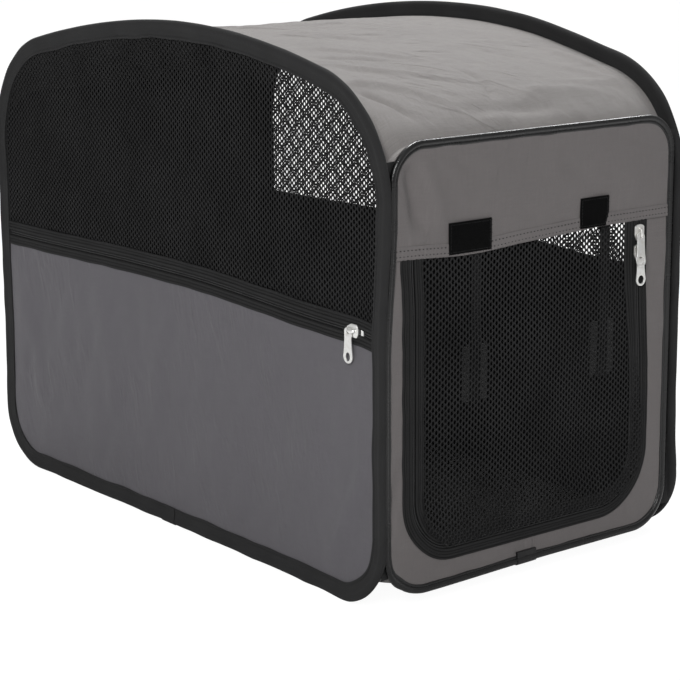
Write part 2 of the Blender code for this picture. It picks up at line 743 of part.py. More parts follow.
def make_door():
    """The net door and its half of the zipper, hung from the hem."""
    place = on_end(FRONT)
    top = HEM_Z - 2 * CLEAR
    half, thick = CLOTH / 2, COIL_THICK / 2
    origin = (DOOR_SHIFT, HINGE_Y, HEM_Z)
    net_depth = ZIP_HALF + CLEAR
    edge = loop_at(door_path(top), net_depth)
    edge_low = DOOR_ZIP_LOW + net_depth
    round_x, round_z = DOOR_ZIP_HALF - DOOR_ZIP_RADIUS, DOOR_ZIP_LOW + DOOR_ZIP_RADIUS
    reach = DOOR_ZIP_RADIUS - net_depth - NET_BORDER

    def keep(x, z):
        past = abs(x - DOOR_SHIFT) - round_x
        return past < 0 or z > round_z or math.hypot(past, z - round_z) < reach

    gaps = lattice(
        (LEFT_ZIP_X + net_depth + NET_BORDER, RIGHT_ZIP_X - net_depth - NET_BORDER),
        (edge_low + NET_BORDER, top - NET_BORDER),
        DOOR_PITCH,
        DOOR_BAR,
        keep,
    )
    tape = [(TAPE_IN, -half), (TAPE_IN, half), (ZIP_HALF, half), (ZIP_HALF, -half)]
    coil = [(COIL_GAP, -thick), (COIL_GAP, thick), (COIL_OUT, thick), (COIL_OUT, -thick)]
    return [
        add_object("door_net", plate([edge] + gaps, -half, half, place), "net", origin),
        add_object("door_zip_tape", sweep(door_path(top), tape, place, closed=False), "tape", origin),
        add_object("door_zip_coil", sweep(door_path(top), coil, place, closed=False), "coil", origin),
    ]


def make_door_slider(name, z, tilt):
    """A door slider on the zipper's right leg, with its pull leaning out by the tilt."""
    place = on_end(FRONT)

    def box(travel, width, out):
        across = (RIGHT_ZIP_X + width[0], RIGHT_ZIP_X + width[1])
        return placed_box(place, across, (z + travel[0], z + travel[1]), out)

    slider = fuse(
        f"{name}_door_slider",
        slider_pieces(box, (-SLIDER_WIDTH / 2, WEB / 2)),
        "nickel",
        place(RIGHT_ZIP_X, z, 0),
    )
    axis = place(RIGHT_ZIP_X, z, PULL_AXIS_OUT)

    def lean(across, down, out):
        """A point of the pull, turned out about the eye bar."""
        drop = Matrix.Rotation(-tilt, 3, "X") @ Vector((across, -out, -down))
        return axis + drop

    half = PULL_THICK / 2
    pull = add_object(f"{name}_door_pull", plate(pull_loops(), -half, half, lean), "nickel", axis)
    return slider, pull


def roof_height(y):
    """Height of the roof sheet's middle along the arch."""
    centre_y, centre_z = shoulder_centre()
    radius = ARCH_RADIUS - SHEET_OFFSET
    low = HEIGHT - ARCH_RADIUS
    lean = centre_y / (ARCH_RADIUS - SHOULDER_RADIUS)
    if abs(y) <= radius * lean:
        return low + math.sqrt(radius * radius - y * y)
    shoulder = SHOULDER_RADIUS - SHEET_OFFSET
    return centre_z + math.sqrt(max(0.0, shoulder * shoulder - (abs(y) - centre_y) ** 2))


def floor_height(y):
    """Height of the floor sheet's middle between the side feet."""
    start = LENGTH / 2 - FOOT_RADIUS
    radius = FOOT_RADIUS - SHEET_OFFSET
    if abs(y) <= start:
        return SHEET_OFFSET
    return FOOT_RADIUS - math.sqrt(radius * radius - (abs(y) - start) ** 2)


def piping_line(x, radius, level, sign):
    """Height of an end piping's middle across the crate, over its top corners or under its foot corners."""
    round_x = END_X - radius
    inner = radius - PIPING_RADIUS
    past = min(max(abs(x) - round_x, 0.0), inner)
    return level + sign * (math.sqrt(inner * inner - past * past) - inner)


def sheet_solid(columns, rows, height):
    """A thin solid over a grid of (x, y), with the cloth's thickness square to its surface."""
    bm = bmesh.new()
    step = 1e-5
    lower, upper = [], []
    for column in columns:
        low_row, high_row = [], []
        for y in rows:
            x = column * sheet_width(y)
            slope_x = (height(x + step, y) - height(x - step, y)) / (2 * step)
            slope_y = (height(x, y + step) - height(x, y - step)) / (2 * step)
            normal = Vector((-slope_x, -slope_y, 1)).normalized() * (CLOTH / 2)
            normal.x = 0
            point = Vector((x, y, height(x, y)))
            low_row.append(bm.verts.new(point - normal))
            high_row.append(bm.verts.new(point + normal))
        lower.append(low_row)
        upper.append(high_row)
    for grid in (lower, upper):
        for near, far in zip(grid, grid[1:]):
            for i in range(len(rows) - 1):
                bm.faces.new((near[i], near[i + 1], far[i + 1], far[i]))
    for i in range(len(rows) - 1):
        for k in (0, -1):
            bm.faces.new((lower[k][i], lower[k][i + 1], upper[k][i + 1], upper[k][i]))
    for i in range(len(columns) - 1):
        for k in (0, -1):
            bm.faces.new((lower[i][k], lower[i + 1][k], upper[i + 1][k], upper[i][k]))
    return bm


def sheet_columns():
    return [SHEET_X * (2 * i / ROOF_COLUMNS - 1) for i in range(ROOF_COLUMNS + 1)]


def sheet_width(y):
    """Share of their full width the sheets keep here, drawn in at the ends beside the bindings' bulges."""
    past = max(0.0, abs(y) - SHEET_LEVEL_Y) / (sheet_reach() - SHEET_LEVEL_Y)
    return 1 - (1 - END_X / SHEET_X) * past


def sheet_reach():
    """How far along the crate the roof and floor run, up to the back of each end piping and its patch."""
    return END_Y - PATCH_OUTER - CLEAR - CLOTH / 2


def make_roof():
    """The roof: an arch at its sides that rises to meet the end pipings."""
    reach = sheet_reach()
    edge = roof_height(SHEET_LEVEL_Y)

    def height(x, y):
        rise = piping_line(x, END_TOP_RADIUS, END_TOP - PIPING_RADIUS, 1) - edge
        share = max(0.0, 1 - (reach - min(abs(y), reach)) / ROOF_BLEND)
        return roof_height(min(abs(y), SHEET_LEVEL_Y)) + max(0.0, rise) * share * share

    rows = [-reach]
    for i in range(-ROOF_STEPS_TO_CROWN, ROOF_STEPS_TO_CROWN + 1):
        share = i / ROOF_STEPS_TO_CROWN
        rows.append(SHEET_LEVEL_Y * math.sin(share * math.pi / 2))
    rows.append(reach)
    return add_object("roof_panel", sheet_solid(sheet_columns(), rows, height), "roof_cloth")


def make_floor():
    """The floor: flat, and turned up at its ends beside the end hoops' corners."""
    reach = sheet_reach()
    start = LENGTH / 2 - FOOT_RADIUS
    edge = floor_height(SHEET_LEVEL_Y)
    full = edge - END_BASE - PIPING_RADIUS

    def height(x, y):
        level = piping_line(x, END_FOOT_RADIUS, END_BASE + PIPING_RADIUS, -1)
        share = max(0.0, edge - level) / full
        y = min(abs(y), reach)
        along = max(0.0, (y - start) / (reach - start))
        straight = SHEET_OFFSET + (END_BASE + PIPING_RADIUS - SHEET_OFFSET) * along
        return floor_height(min(y, SHEET_LEVEL_Y)) * (1 - share) + straight * share

    turn = SHEET_LEVEL_Y - start
    ends = [start + turn * i / FLOOR_STEPS_TO_FLAT for i in range(FLOOR_STEPS_TO_FLAT + 1)] + [reach]
    rows = [-y for y in reversed(ends)] + [0.0] + ends
    return add_object("floor_panel", sheet_solid(sheet_columns(), rows, height), "roof_cloth")


def make_body(name, origin, pieces, parent=None):
    """An empty on a body's joint axis, with the body's pieces parented to it."""
    body = bpy.data.objects.new(name, None)
    bpy.context.collection.objects.link(body)
    body.location = origin
    if parent is not None:
        body.parent = parent
        body.matrix_parent_inverse = Matrix.Translation(-parent_place(parent))
    for piece in pieces:
        piece.parent = body
        piece.matrix_parent_inverse = Matrix.Translation(-parent_place(body))
    return body


def parent_place(body):
    """Where a body's empty stands in the crate; none of them is turned or scaled."""
    bpy.context.view_layer.update()
    return body.matrix_world.translation


def main():
    clear_scene()
    left = make_side(LEFT, "left") + [make_roof(), make_floor()]
    right = make_side(RIGHT, "right")

    root = make_body("left_side", (0, 0, 0), left)
    front = make_body("front_end", (-HINGE_X, -END_Y, 0), make_end(FRONT, "front") + make_front_panel(), root)
    back = make_body("back_end", (-HINGE_X, END_Y, 0), make_end(BACK, "back") + [make_back_panel()], root)
    right_side = make_body("right_side", (HINGE_X, END_Y, 0), right, back)

    for side, prefix, body in ((LEFT, "left", root), (RIGHT, "right", right_side)):
        slider, pull = make_side_slider(side, prefix)
        carrier = make_body(f"{prefix}_slider_body", slider.location, [slider], body)
        make_body(f"{prefix}_pull_body", pull.location, [pull], carrier)

    door = make_body("door", (DOOR_SHIFT, HINGE_Y, HEM_Z), make_door(), front)
    for name, drop, tilt in (("upper", UPPER_SLIDER_DROP, UPPER_PULL_TILT), ("lower", LOWER_SLIDER_DROP, 0.0)):
        slider, pull = make_door_slider(name, HEM_Z - drop, tilt)
        carrier = make_body(f"{name}_door_slider_body", slider.location, [slider], door)
        make_body(f"{name}_door_pull_body", pull.location, [pull], carrier)

    for name, x in (("left", LEFT_STRAP_X), ("right", RIGHT_STRAP_X)):
        make_body(f"{name}_strap_body", (x, STRAP_Y, STRAP_Z), make_strap(name, x), front)


main()
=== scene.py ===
import logging
import math
from dataclasses import dataclass
from enum import Enum
from typing import Callable, Iterable, Optional, Sequence

import bmesh
import bpy
import numpy as np
from bpy.types import Material, Mesh, Node, Object
from bpy.types import NodeSocket as Socket
from mathutils import Matrix, Vector


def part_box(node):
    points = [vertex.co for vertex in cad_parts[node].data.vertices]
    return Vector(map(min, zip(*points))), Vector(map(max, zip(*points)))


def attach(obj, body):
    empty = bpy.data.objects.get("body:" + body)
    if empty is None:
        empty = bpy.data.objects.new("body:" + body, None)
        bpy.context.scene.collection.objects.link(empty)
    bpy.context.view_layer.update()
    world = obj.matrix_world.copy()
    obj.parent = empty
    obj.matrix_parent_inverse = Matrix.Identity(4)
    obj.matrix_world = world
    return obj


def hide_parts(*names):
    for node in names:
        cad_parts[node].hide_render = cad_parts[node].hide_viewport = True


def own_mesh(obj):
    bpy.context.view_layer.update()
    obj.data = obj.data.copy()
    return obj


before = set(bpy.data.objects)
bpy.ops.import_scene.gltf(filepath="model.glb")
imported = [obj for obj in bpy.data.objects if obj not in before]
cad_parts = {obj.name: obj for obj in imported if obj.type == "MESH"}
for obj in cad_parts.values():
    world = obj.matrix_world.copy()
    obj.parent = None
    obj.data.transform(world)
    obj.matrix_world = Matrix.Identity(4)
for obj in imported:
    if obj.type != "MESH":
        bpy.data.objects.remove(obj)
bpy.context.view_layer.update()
LOG = logging.getLogger("crate")


# Sizes that the visible pieces follow

@dataclass(frozen=True)
class CrateSizes:
    """The crate's driving sizes, in metres, as the frame has them."""

    length: float = 0.610
    height: float = 0.460
    arch_radius: float = 0.932
    shoulder_radius: float = 0.1075
    foot_radius: float = 0.063
    side_x: float = 0.16205
    sheet_offset: float = 0.0148
    sheet_x: float = 0.16015
    sheet_turn: float = 0.0205
    end_x: float = 0.1580
    end_y: float = 0.2985
    end_base: float = 0.0135
    end_top: float = 0.381
    end_top_radius: float = 0.034
    end_foot_radius: float = 0.039
    piping_radius: float = 0.0025
    hem_z: float = 0.289
    side_zip_z: float = 0.229
    door_shift: float = -0.008
    door_zip_half: float = 0.1285
    door_zip_low: float = 0.0455
    door_zip_radius: float = 0.045
    zip_half: float = 0.011
    sheet_reach: float = 0.29401

    def shoulder_centre(self) -> tuple[float, float]:
        """Centre of the back shoulder's arc."""
        y = self.length / 2 - self.shoulder_radius
        reach = self.arch_radius - self.shoulder_radius
        return y, self.height - self.arch_radius + math.sqrt(reach * reach - y * y)

    def arch_height(self, y: np.ndarray, depth: float) -> np.ndarray:
        """Height of the upper outline at the given depth inside it."""
        centre_y, centre_z = self.shoulder_centre()
        radius = self.arch_radius - depth
        lean = centre_y / (self.arch_radius - self.shoulder_radius)
        shoulder = self.shoulder_radius - depth
        arch = self.height - self.arch_radius + np.sqrt(np.maximum(radius**2 - y**2, 0))
        side = centre_z + np.sqrt(np.maximum(shoulder**2 - (np.abs(y) - centre_y) ** 2, 0))
        return np.where(np.abs(y) <= radius * lean, arch, side)

    def foot_height(self, y: np.ndarray, depth: float) -> np.ndarray:
        """Height of the lower outline at the given depth inside it."""
        start = self.length / 2 - self.foot_radius
        radius = self.foot_radius - depth
        past = np.maximum(np.abs(y) - start, 0)
        return self.foot_radius - np.sqrt(np.maximum(radius**2 - past**2, 0))

    def sheet_level(self, y: np.ndarray) -> np.ndarray:
        """The place along the crate whose height the sheets' edges keep from there to the end."""
        return np.minimum(np.abs(y), self.length / 2 - self.sheet_turn)

    def sheet_width(self, y: np.ndarray) -> np.ndarray:
        """Share of their full width that the sheets keep, drawn in beside the bindings at the ends."""
        turn = self.length / 2 - self.sheet_turn
        past = np.maximum(0.0, np.abs(y) - turn) / (self.sheet_reach - turn)
        return 1 - (1 - self.end_x / self.sheet_x) * past

    def end_line(self, x: np.ndarray, depth: float, top: bool) -> np.ndarray:
        """Height of an end hoop's top or foot line at the given depth inside it."""
        radius = self.end_top_radius if top else self.end_foot_radius
        past = np.maximum(np.abs(x) - (self.end_x - radius), 0)
        inner = radius - depth
        drop = inner - np.sqrt(np.maximum(inner**2 - past**2, 0))
        if top:
            return self.end_top - depth - drop
        return self.end_base + depth + drop


SIZES = CrateSizes()


@dataclass(frozen=True)
class SewnSizes:
    """Thicknesses of the cloths and places of what is sewn, in metres."""

    panel_cloth: float = 0.0009
    sheet_cloth: float = 0.0010
    tape_cloth: float = 0.0008
    strip_cloth: float = 0.0006
    web_cloth: float = 0.0012
    end_panel_depth: float = 0.0042
    side_wire_depth: float = 0.00295
    strip_start: float = 0.1498
    strip_width: float = 0.0106


SEWN = SewnSizes()


@dataclass(frozen=True)
class StrapSizes:
    """The roll-up straps and their pads, in metres."""

    top: float = 0.2923
    length: float = 0.131
    half: float = 0.0051
    plane: float = -0.2978
    pad_half: float = 0.0132
    pad_height: float = 0.0465
    pad_top: float = 0.048


# Shapes in numbers

def smoothstep(value: np.ndarray, low: float, high: float) -> np.ndarray:
    """A soft step from 0 at low to 1 at high."""
    share = np.clip((value - low) / (high - low), 0, 1)
    return share * share * (3 - 2 * share)


def bell(value: np.ndarray, middle: float, width: float) -> np.ndarray:
    """A soft hump of height 1 about the middle."""
    return np.exp(-(((value - middle) / width) ** 2))


def spaced(reach: float, count: int, eased: float) -> np.ndarray:
    """Places from one end to the other, closer together near the ends the larger the eased share is."""
    share = np.linspace(-1, 1, count)
    return reach * (eased * np.sin(share * math.pi / 2) + (1 - eased) * share)


@dataclass(frozen=True)
class Ripple:
    """A seeded sum of waves along one line."""

    amplitude: float
    wavelength: float
    seed: int
    waves: int = 5

    def __call__(self, along: np.ndarray) -> np.ndarray:
        """The offset at each distance along the line."""
        rng = np.random.default_rng(self.seed)
        total = np.zeros_like(np.asarray(along, dtype=float))
        for _ in range(self.waves):
            size = self.wavelength * rng.uniform(0.6, 1.8)
            total += np.sin(2 * math.pi * along / size + rng.uniform(0, 2 * math.pi))
        return total * self.amplitude / math.sqrt(self.waves)


@dataclass(frozen=True)
class Wrinkles:
    """A seeded field of soft waves over a sheet, longer along one direction than across it."""

    amplitude: float
    size: float
    seed: int
    lean: float = 0.0
    spread: float = math.pi
    waves: int = 9

    def __call__(self, a: np.ndarray, b: np.ndarray) -> np.ndarray:
        """The offset at each place of the sheet."""
        rng = np.random.default_rng(self.seed)
        total = np.zeros_like(a)
        for _ in range(self.waves):
            angle = self.lean + rng.uniform(-0.5, 0.5) * self.spread
            turn = 2 * math.pi / (self.size * rng.uniform(0.6, 1.7))
            phase = turn * (a * math.cos(angle) + b * math.sin(angle)) + rng.uniform(0, 2 * math.pi)
            total += np.sin(phase)
        return total * self.amplitude / math.sqrt(self.waves)


@dataclass(frozen=True)
class Fold:
    """A crease along a line of a sheet: a ridge if its height is positive, or a groove."""

    start: tuple[float, float]
    end: tuple[float, float]
    width: float
    height: float
    bow: float = 0.0

    def __call__(self, a: np.ndarray, b: np.ndarray) -> np.ndarray:
        """The offset at each place of the sheet."""
        first = np.array(self.start)
        line = np.array(self.end) - first
        reach = math.hypot(*line)
        along = ((a - first[0]) * line[0] + (b - first[1]) * line[1]) / reach**2
        across = ((a - first[0]) * -line[1] + (b - first[1]) * line[0]) / reach
        across = across - self.bow * 4 * along * (1 - along)
        fade = smoothstep(along, -0.05, 0.25) * (1 - smoothstep(along, 0.6, 1.08))
        return self.height * bell(across, 0, self.width) * fade


def relief(parts: Iterable[Callable], a: np.ndarray, b: np.ndarray) -> np.ndarray:
    """The sum of wrinkles and folds over a sheet."""
    total = np.zeros_like(a)
    for part in parts:
        total = total + part(a, b)
    return total


class Panel:
    """A grid of points between a low and a high line, with the distances to the panel's edges."""

    def __init__(self, along: np.ndarray, low: np.ndarray, high: np.ndarray, rows: int) -> None:
        """Spaces the rows evenly from the low line to the high one."""
        low, high = np.broadcast_arrays(low, high)
        up = np.linspace(0, 1, rows)
        self.along = np.repeat(along[:, None], rows, axis=1)
        self.height = low[:, None] + (high - low)[:, None] * up[None, :]
        self.below = self.height - low[:, None]
        self.above = high[:, None] - self.height
        self.beside = along[-1] - np.abs(self.along)
        self.room = np.minimum.reduce((self.below, self.above, self.beside))
        self.coords = np.stack((self.along, self.height), axis=2)
        self.area = float(np.trapz(high - low, along))


@dataclass(frozen=True)
class Track:
    """A line in a panel's plane, with the direction that leads inwards at each point."""

    points: np.ndarray
    inward: np.ndarray

    @classmethod
    def ring(cls, arcs: Sequence[tuple], step: float) -> "Track":
        """Joins arcs by straight runs into a ring at an even spacing.

        Args:
            arcs: Centre, radius and first and last angle in degrees of each.
            step: The spacing wanted along the line.

        Returns:
            The track, with no point twice.
        """
        points, inward = [], []
        for number, (centre, radius, start, end) in enumerate(arcs):
            count = max(4, round(abs(math.radians(end - start)) * radius / step))
            for i in range(count + 1):
                angle = math.radians(start + (end - start) * i / count)
                away = np.array((math.cos(angle), math.sin(angle)))
                points.append(np.array(centre) + away * radius)
                inward.append(-away)
            centre, radius, start, _ = arcs[(number + 1) % len(arcs)]
            angle = math.radians(start)
            run = np.array(centre) + radius * np.array((math.cos(angle), math.sin(angle))) - points[-1]
            count = max(1, round(float(np.linalg.norm(run)) / step))
            corner = points[-1]
            for i in range(1, count + 1):
                points.append(corner + run * i / count)
                inward.append(-away)
        kept = [0]
        for i in range(1, len(points)):
            if np.linalg.norm(points[i] - points[kept[-1]]) > 1e-6:
                kept.append(i)
        if np.linalg.norm(points[kept[-1]] - points[0]) < 1e-6:
            kept.pop()
        return cls(np.array(points)[kept], np.array(inward)[kept])

    def at(self, depth: np.ndarray) -> np.ndarray:
        """Points that lie this far inside the line."""
        depth = np.broadcast_to(np.asarray(depth, dtype=float), (len(self.points),))
        return self.points + self.inward * depth[:, None]

    def lengths(self) -> np.ndarray:
        """Distance along the line at each point."""
        steps = np.linalg.norm(np.diff(self.points, axis=0), axis=1)
        return np.concatenate(([0.0], np.cumsum(steps)))

    def across(self, axis: int) -> np.ndarray:
        """The inward directions in the crate, where the plane leaves out the given axis."""
        return np.insert(self.inward, axis, 0.0, axis=1)


def side_track(step: float = 0.004) -> Track:
    """The whole outline of a side, from the front foot round by the back to the front upright."""
    size = SIZES
    y, z = size.shoulder_centre()
    foot = size.length / 2 - size.foot_radius
    lean = math.degrees(math.asin(y / (size.arch_radius - size.shoulder_radius)))
    arcs = [
        ((-foot, size.foot_radius), size.foot_radius, 180, 270),
        ((foot, size.foot_radius), size.foot_radius, 270, 360),
        ((y, z), size.shoulder_radius, 0, 90 - lean),
        ((0, size.height - size.arch_radius), size.arch_radius, 90 - lean, 90 + lean),
        ((-y, z), size.shoulder_radius, 90 + lean, 180),
    ]
    return Track.ring(arcs, step)


def end_track(step: float = 0.003) -> Track:
    """The outline of an end hoop."""
    size = SIZES
    foot_x, foot_z = size.end_x - size.end_foot_radius, size.end_base + size.end_foot_radius
    top_x, top_z = size.end_x - size.end_top_radius, size.end_top - size.end_top_radius
    arcs = [
        ((-foot_x, foot_z), size.end_foot_radius, 180, 270),
        ((foot_x, foot_z), size.end_foot_radius, 270, 360),
        ((top_x, top_z), size.end_top_radius, 0, 90),
        ((-top_x, top_z), size.end_top_radius, 90, 180),
    ]
    return Track.ring(arcs, step)


def u_track(
    middle: float, reach: float, low: float, radius: float, top: float, counts: tuple[int, int, int]
) -> Track:
    """A U that opens upwards, with the same number of points on each part whatever its size.

    Args:
        middle: Place of the U's middle across the crate.
        reach: Distance of the legs from the middle.
        low: Height of the bottom run.
        radius: Radius of the two corners.
        top: Height of the legs' ends.
        counts: Steps on a leg, on a corner and on the bottom run.

    Returns:
        The track from the left leg's top to the right leg's, with inwards towards the middle.
    """
    leg, corner, run = counts
    points, inward = [], []

    def turn(centre: float, first: int) -> None:
        """Adds a corner about its centre, from its first angle in degrees."""
        for i in range(corner):
            angle = math.radians(first + 90 * i / corner)
            away = np.array((math.cos(angle), math.sin(angle)))
            points.append(np.array((centre, low + radius)) + radius * away)
            inward.append(-away)

    for i in range(leg):
        points.append((-reach, top + (low + radius - top) * i / leg))
        inward.append((1, 0))
    turn(radius - reach, 180)
    for i in range(run):
        points.append(((2 * i / run - 1) * (reach - radius), low))
        inward.append((0, 1))
    turn(reach - radius, 270)
    for i in range(leg + 1):
        points.append((reach, low + radius + (top - low - radius) * i / leg))
        inward.append((-1, 0))
    placed = np.array(points, dtype=float) + np.array((middle, 0.0))
    return Track(placed, np.array(inward, dtype=float))


# Meshes

def new_object(name: str, data: bpy.types.ID) -> Object:
    """An object that is linked into the scene."""
    obj = bpy.data.objects.new(name, data)
    bpy.context.scene.collection.objects.link(obj)
    return obj


def new_mesh(points: np.ndarray, faces: list, coords: Optional[np.ndarray] = None) -> Mesh:
    """A smooth mesh with its texture coordinates in metres.

    Args:
        points: One row of x, y, z for each vertex.
        faces: Vertex numbers of each face.
        coords: One row of u, v for each vertex, if the material needs them.

    Returns:
        The mesh.
    """
    mesh = bpy.data.meshes.new("mesh")
    mesh.from_pydata(points.tolist(), [], faces)
    if coords is not None:
        layer = mesh.uv_layers.new(name="cloth")
        index = np.empty(len(mesh.loops), dtype=np.int32)
        mesh.loops.foreach_get("vertex_index", index)
        layer.data.foreach_set("uv", coords[index].astype(np.float32).ravel())
    mesh.shade_smooth()
    return mesh


def grid_faces(
    rows: int,
    columns: int,
    wrap_rows: bool = False,
    wrap_columns: bool = False,
    first: int = 0,
    flip: bool = False,
) -> list:
    """Quads over a grid of vertices that are numbered row by row."""
    found = []
    for i in range(rows if wrap_rows else rows - 1):
        near, far = first + i * columns, first + ((i + 1) % rows) * columns
        for j in range(columns if wrap_columns else columns - 1):
            k = (j + 1) % columns
            quad = (near + j, near + k, far + k, far + j)
            found.append(quad[::-1] if flip else quad)
    return found


def carrier_mesh(grid: np.ndarray) -> Mesh:
    """An open surface through a grid of points."""
    return new_mesh(grid.reshape(-1, 3), grid_faces(*grid.shape[:2]))


def uv_grid(along: np.ndarray, across: np.ndarray) -> np.ndarray:
    """Texture coordinates from the places along a sheet and across it."""
    return np.stack(np.meshgrid(along, across, indexing="ij"), axis=2)


def outward(mesh: Mesh, sharp: float, weld: float = 0.0) -> Mesh:
    """Turns the faces of a closed mesh outwards and keeps the edges sharp beyond an angle in degrees."""
    bm = bmesh.new()
    bm.from_mesh(mesh)
    if weld:
        bmesh.ops.remove_doubles(bm, verts=bm.verts, dist=weld)
    bmesh.ops.recalc_face_normals(bm, faces=bm.faces)
    bm.to_mesh(mesh)
    bm.free()
    mesh.shade_smooth()
    mesh.set_sharp_from_angle(angle=math.radians(sharp))
    return mesh


def sheet_mesh(grid: np.ndarray, thick: float, coords: np.ndarray) -> Mesh:
    """A closed thin body about a grid of points.

    Args:
        grid: Points by row, column and axis.
        thick: The cloth's thickness.
        coords: u and v in metres for each grid point.

    Returns:
        The mesh, with both faces and its rims.
    """
    rows, columns = grid.shape[:2]
    normal = np.cross(np.gradient(grid, axis=1), np.gradient(grid, axis=0))
    normal *= thick / 2 / np.maximum(np.linalg.norm(normal, axis=2, keepdims=True), 1e-12)
    points = np.concatenate(((grid + normal).reshape(-1, 3), (grid - normal).reshape(-1, 3)))
    count = rows * columns
    faces = grid_faces(rows, columns) + grid_faces(rows, columns, first=count, flip=True)
    number = np.arange(count).reshape(rows, columns)
    for rim in (number[:, 0], number[:, -1], number[0], number[-1]):
        for near, far in zip(rim[:-1].tolist(), rim[1:].tolist()):
            faces.append((near, far, count + far, count + near))
    flat = coords.reshape(-1, 2)
    return outward(new_mesh(points, faces, np.concatenate((flat, flat))), 60)


def carried(section: Iterable[tuple[float, float]], ring: Callable) -> np.ndarray:
    """A section carried along a line, from a function that gives one section point at every station."""
    return np.stack([ring(a, b) for a, b in section], axis=1)


def round_section(radius: float, sides: int) -> np.ndarray:
    """Points of a round section about its middle."""
    angles = np.arange(sides) * 2 * math.pi / sides
    return np.stack((np.cos(angles), np.sin(angles)), axis=1) * radius


def tube(core: np.ndarray, across: np.ndarray, facing: Sequence[float], radius: float) -> np.ndarray:
    """A round section along a line, from the two directions that span it."""
    return carried(round_section(radius, 8), lambda a, b: core + across * a + np.array(facing) * b)


def band_mesh(rings: np.ndarray, closed: bool, lengths: np.ndarray) -> Mesh:
    """A closed section carried along a line.

    Args:
        rings: Points by station, section point and axis.
        closed: Whether the last station joins the first. Open ends are capped.
        lengths: Distance along the line at each station.

    Returns:
        The mesh, with u along the line and v round the section.
    """
    rows, columns = rings.shape[:2]
    girth = np.linalg.norm(np.diff(rings, axis=1), axis=2)
    around = np.concatenate((np.zeros((rows, 1)), np.cumsum(girth, axis=1)), axis=1)
    coords = np.stack((np.broadcast_to(lengths[:, None], (rows, columns)), around), axis=2)
    faces = grid_faces(rows, columns, closed, True)
    if not closed:
        faces.append(tuple(range(columns)))
        faces.append(tuple(range((rows - 1) * columns, rows * columns))[::-1])
    return outward(new_mesh(rings.reshape(-1, 3), faces, coords.reshape(-1, 2)), 55)


def join_meshes(meshes: Sequence[Mesh]) -> Mesh:
    """One mesh from several, which are then removed."""
    bm = bmesh.new()
    for mesh in meshes:
        bm.from_mesh(mesh)
        bpy.data.meshes.remove(mesh)
    joined = bpy.data.meshes.new("joined")
    bm.to_mesh(joined)
    bm.free()
    return joined


def add_piece(
    name: str,
    mesh: Mesh,
    material: Material,
    body: str,
    replaces: Sequence[str] = (),
    slot: Optional[str] = None,
) -> Object:
    """Puts a finished piece into the scene and onto its body.

    Args:
        name: The piece's name.
        mesh: Its mesh, in the crate's own axes.
        material: Its finish.
        body: The body it rides on.
        replaces: CAD nodes that it stands for.
        slot: The record's material slot; not used.

    Returns:
        The object.
    """
    mesh.name = name
    mesh.materials.clear()
    mesh.materials.append(material)
    obj = new_object(name, mesh)
    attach(obj, body)
    if replaces:
        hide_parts(*replaces)
    return obj


def flat_plate(loops: Sequence[np.ndarray], thick: float, bevel: float) -> Mesh:
    """A plate with rounded edges from a flat outline and its holes.

    Args:
        loops: The outline first, then the holes, as x, y points.
        thick: Thickness over the bevels.
        bevel: Radius of the rounded edges.

    Returns:
        The mesh, about its own middle, flat in X and Y.
    """
    curve = bpy.data.curves.new("plate_outline", "CURVE")
    curve.dimensions = "2D"
    curve.fill_mode = "BOTH"
    curve.extrude = thick / 2 - bevel
    curve.bevel_depth = bevel
    curve.bevel_resolution = 2
    curve.offset = -bevel
    for loop in loops:
        spline = curve.splines.new("POLY")
        spline.points.add(len(loop) - 1)
        for point, (a, b) in zip(spline.points, loop):
            point.co = (a, b, 0, 1)
        spline.use_cyclic_u = True
    holder = new_object("plate_outline", curve)
    graph = bpy.context.evaluated_depsgraph_get()
    mesh = bpy.data.meshes.new_from_object(holder.evaluated_get(graph))
    bpy.data.objects.remove(holder, do_unlink=True)
    bpy.data.curves.remove(curve)
    return outward(mesh, 35, 1e-6)


# Node trees

class Tree:
    """The nodes and links of one node tree."""

    def __init__(self, tree: bpy.types.NodeTree) -> None:
        """Takes the tree's nodes and links."""
        self.nodes = tree.nodes
        self.links = tree.links

    def add(self, kind: str, inputs: Optional[dict] = None, **settings) -> Node:
        """Adds a node, sets its options, and gives each input a value or a link."""
        node = self.nodes.new(kind)
        for key, value in settings.items():
            setattr(node, key, value)
        for key, value in (inputs or {}).items():
            self.feed(node.inputs[key], value)
        return node

    def feed(self, socket: Socket, value) -> None:
        """Links a socket or sets its value."""
        if isinstance(value, Socket):
            self.links.new(value, socket)
        else:
            socket.default_value = value

    def math(self, operation: str, *values) -> Socket:
        """The result of a math node."""
        return self.add("ShaderNodeMath", dict(enumerate(values)), operation=operation).outputs[0]

    def vector(self, operation: str, first, second) -> Socket:
        """The result of a vector math node."""
        other = "Scale" if operation == "SCALE" else 1
        node = self.add("ShaderNodeVectorMath", {0: first, other: second}, operation=operation)
        return node.outputs["Value" if operation == "DOT_PRODUCT" else "Vector"]


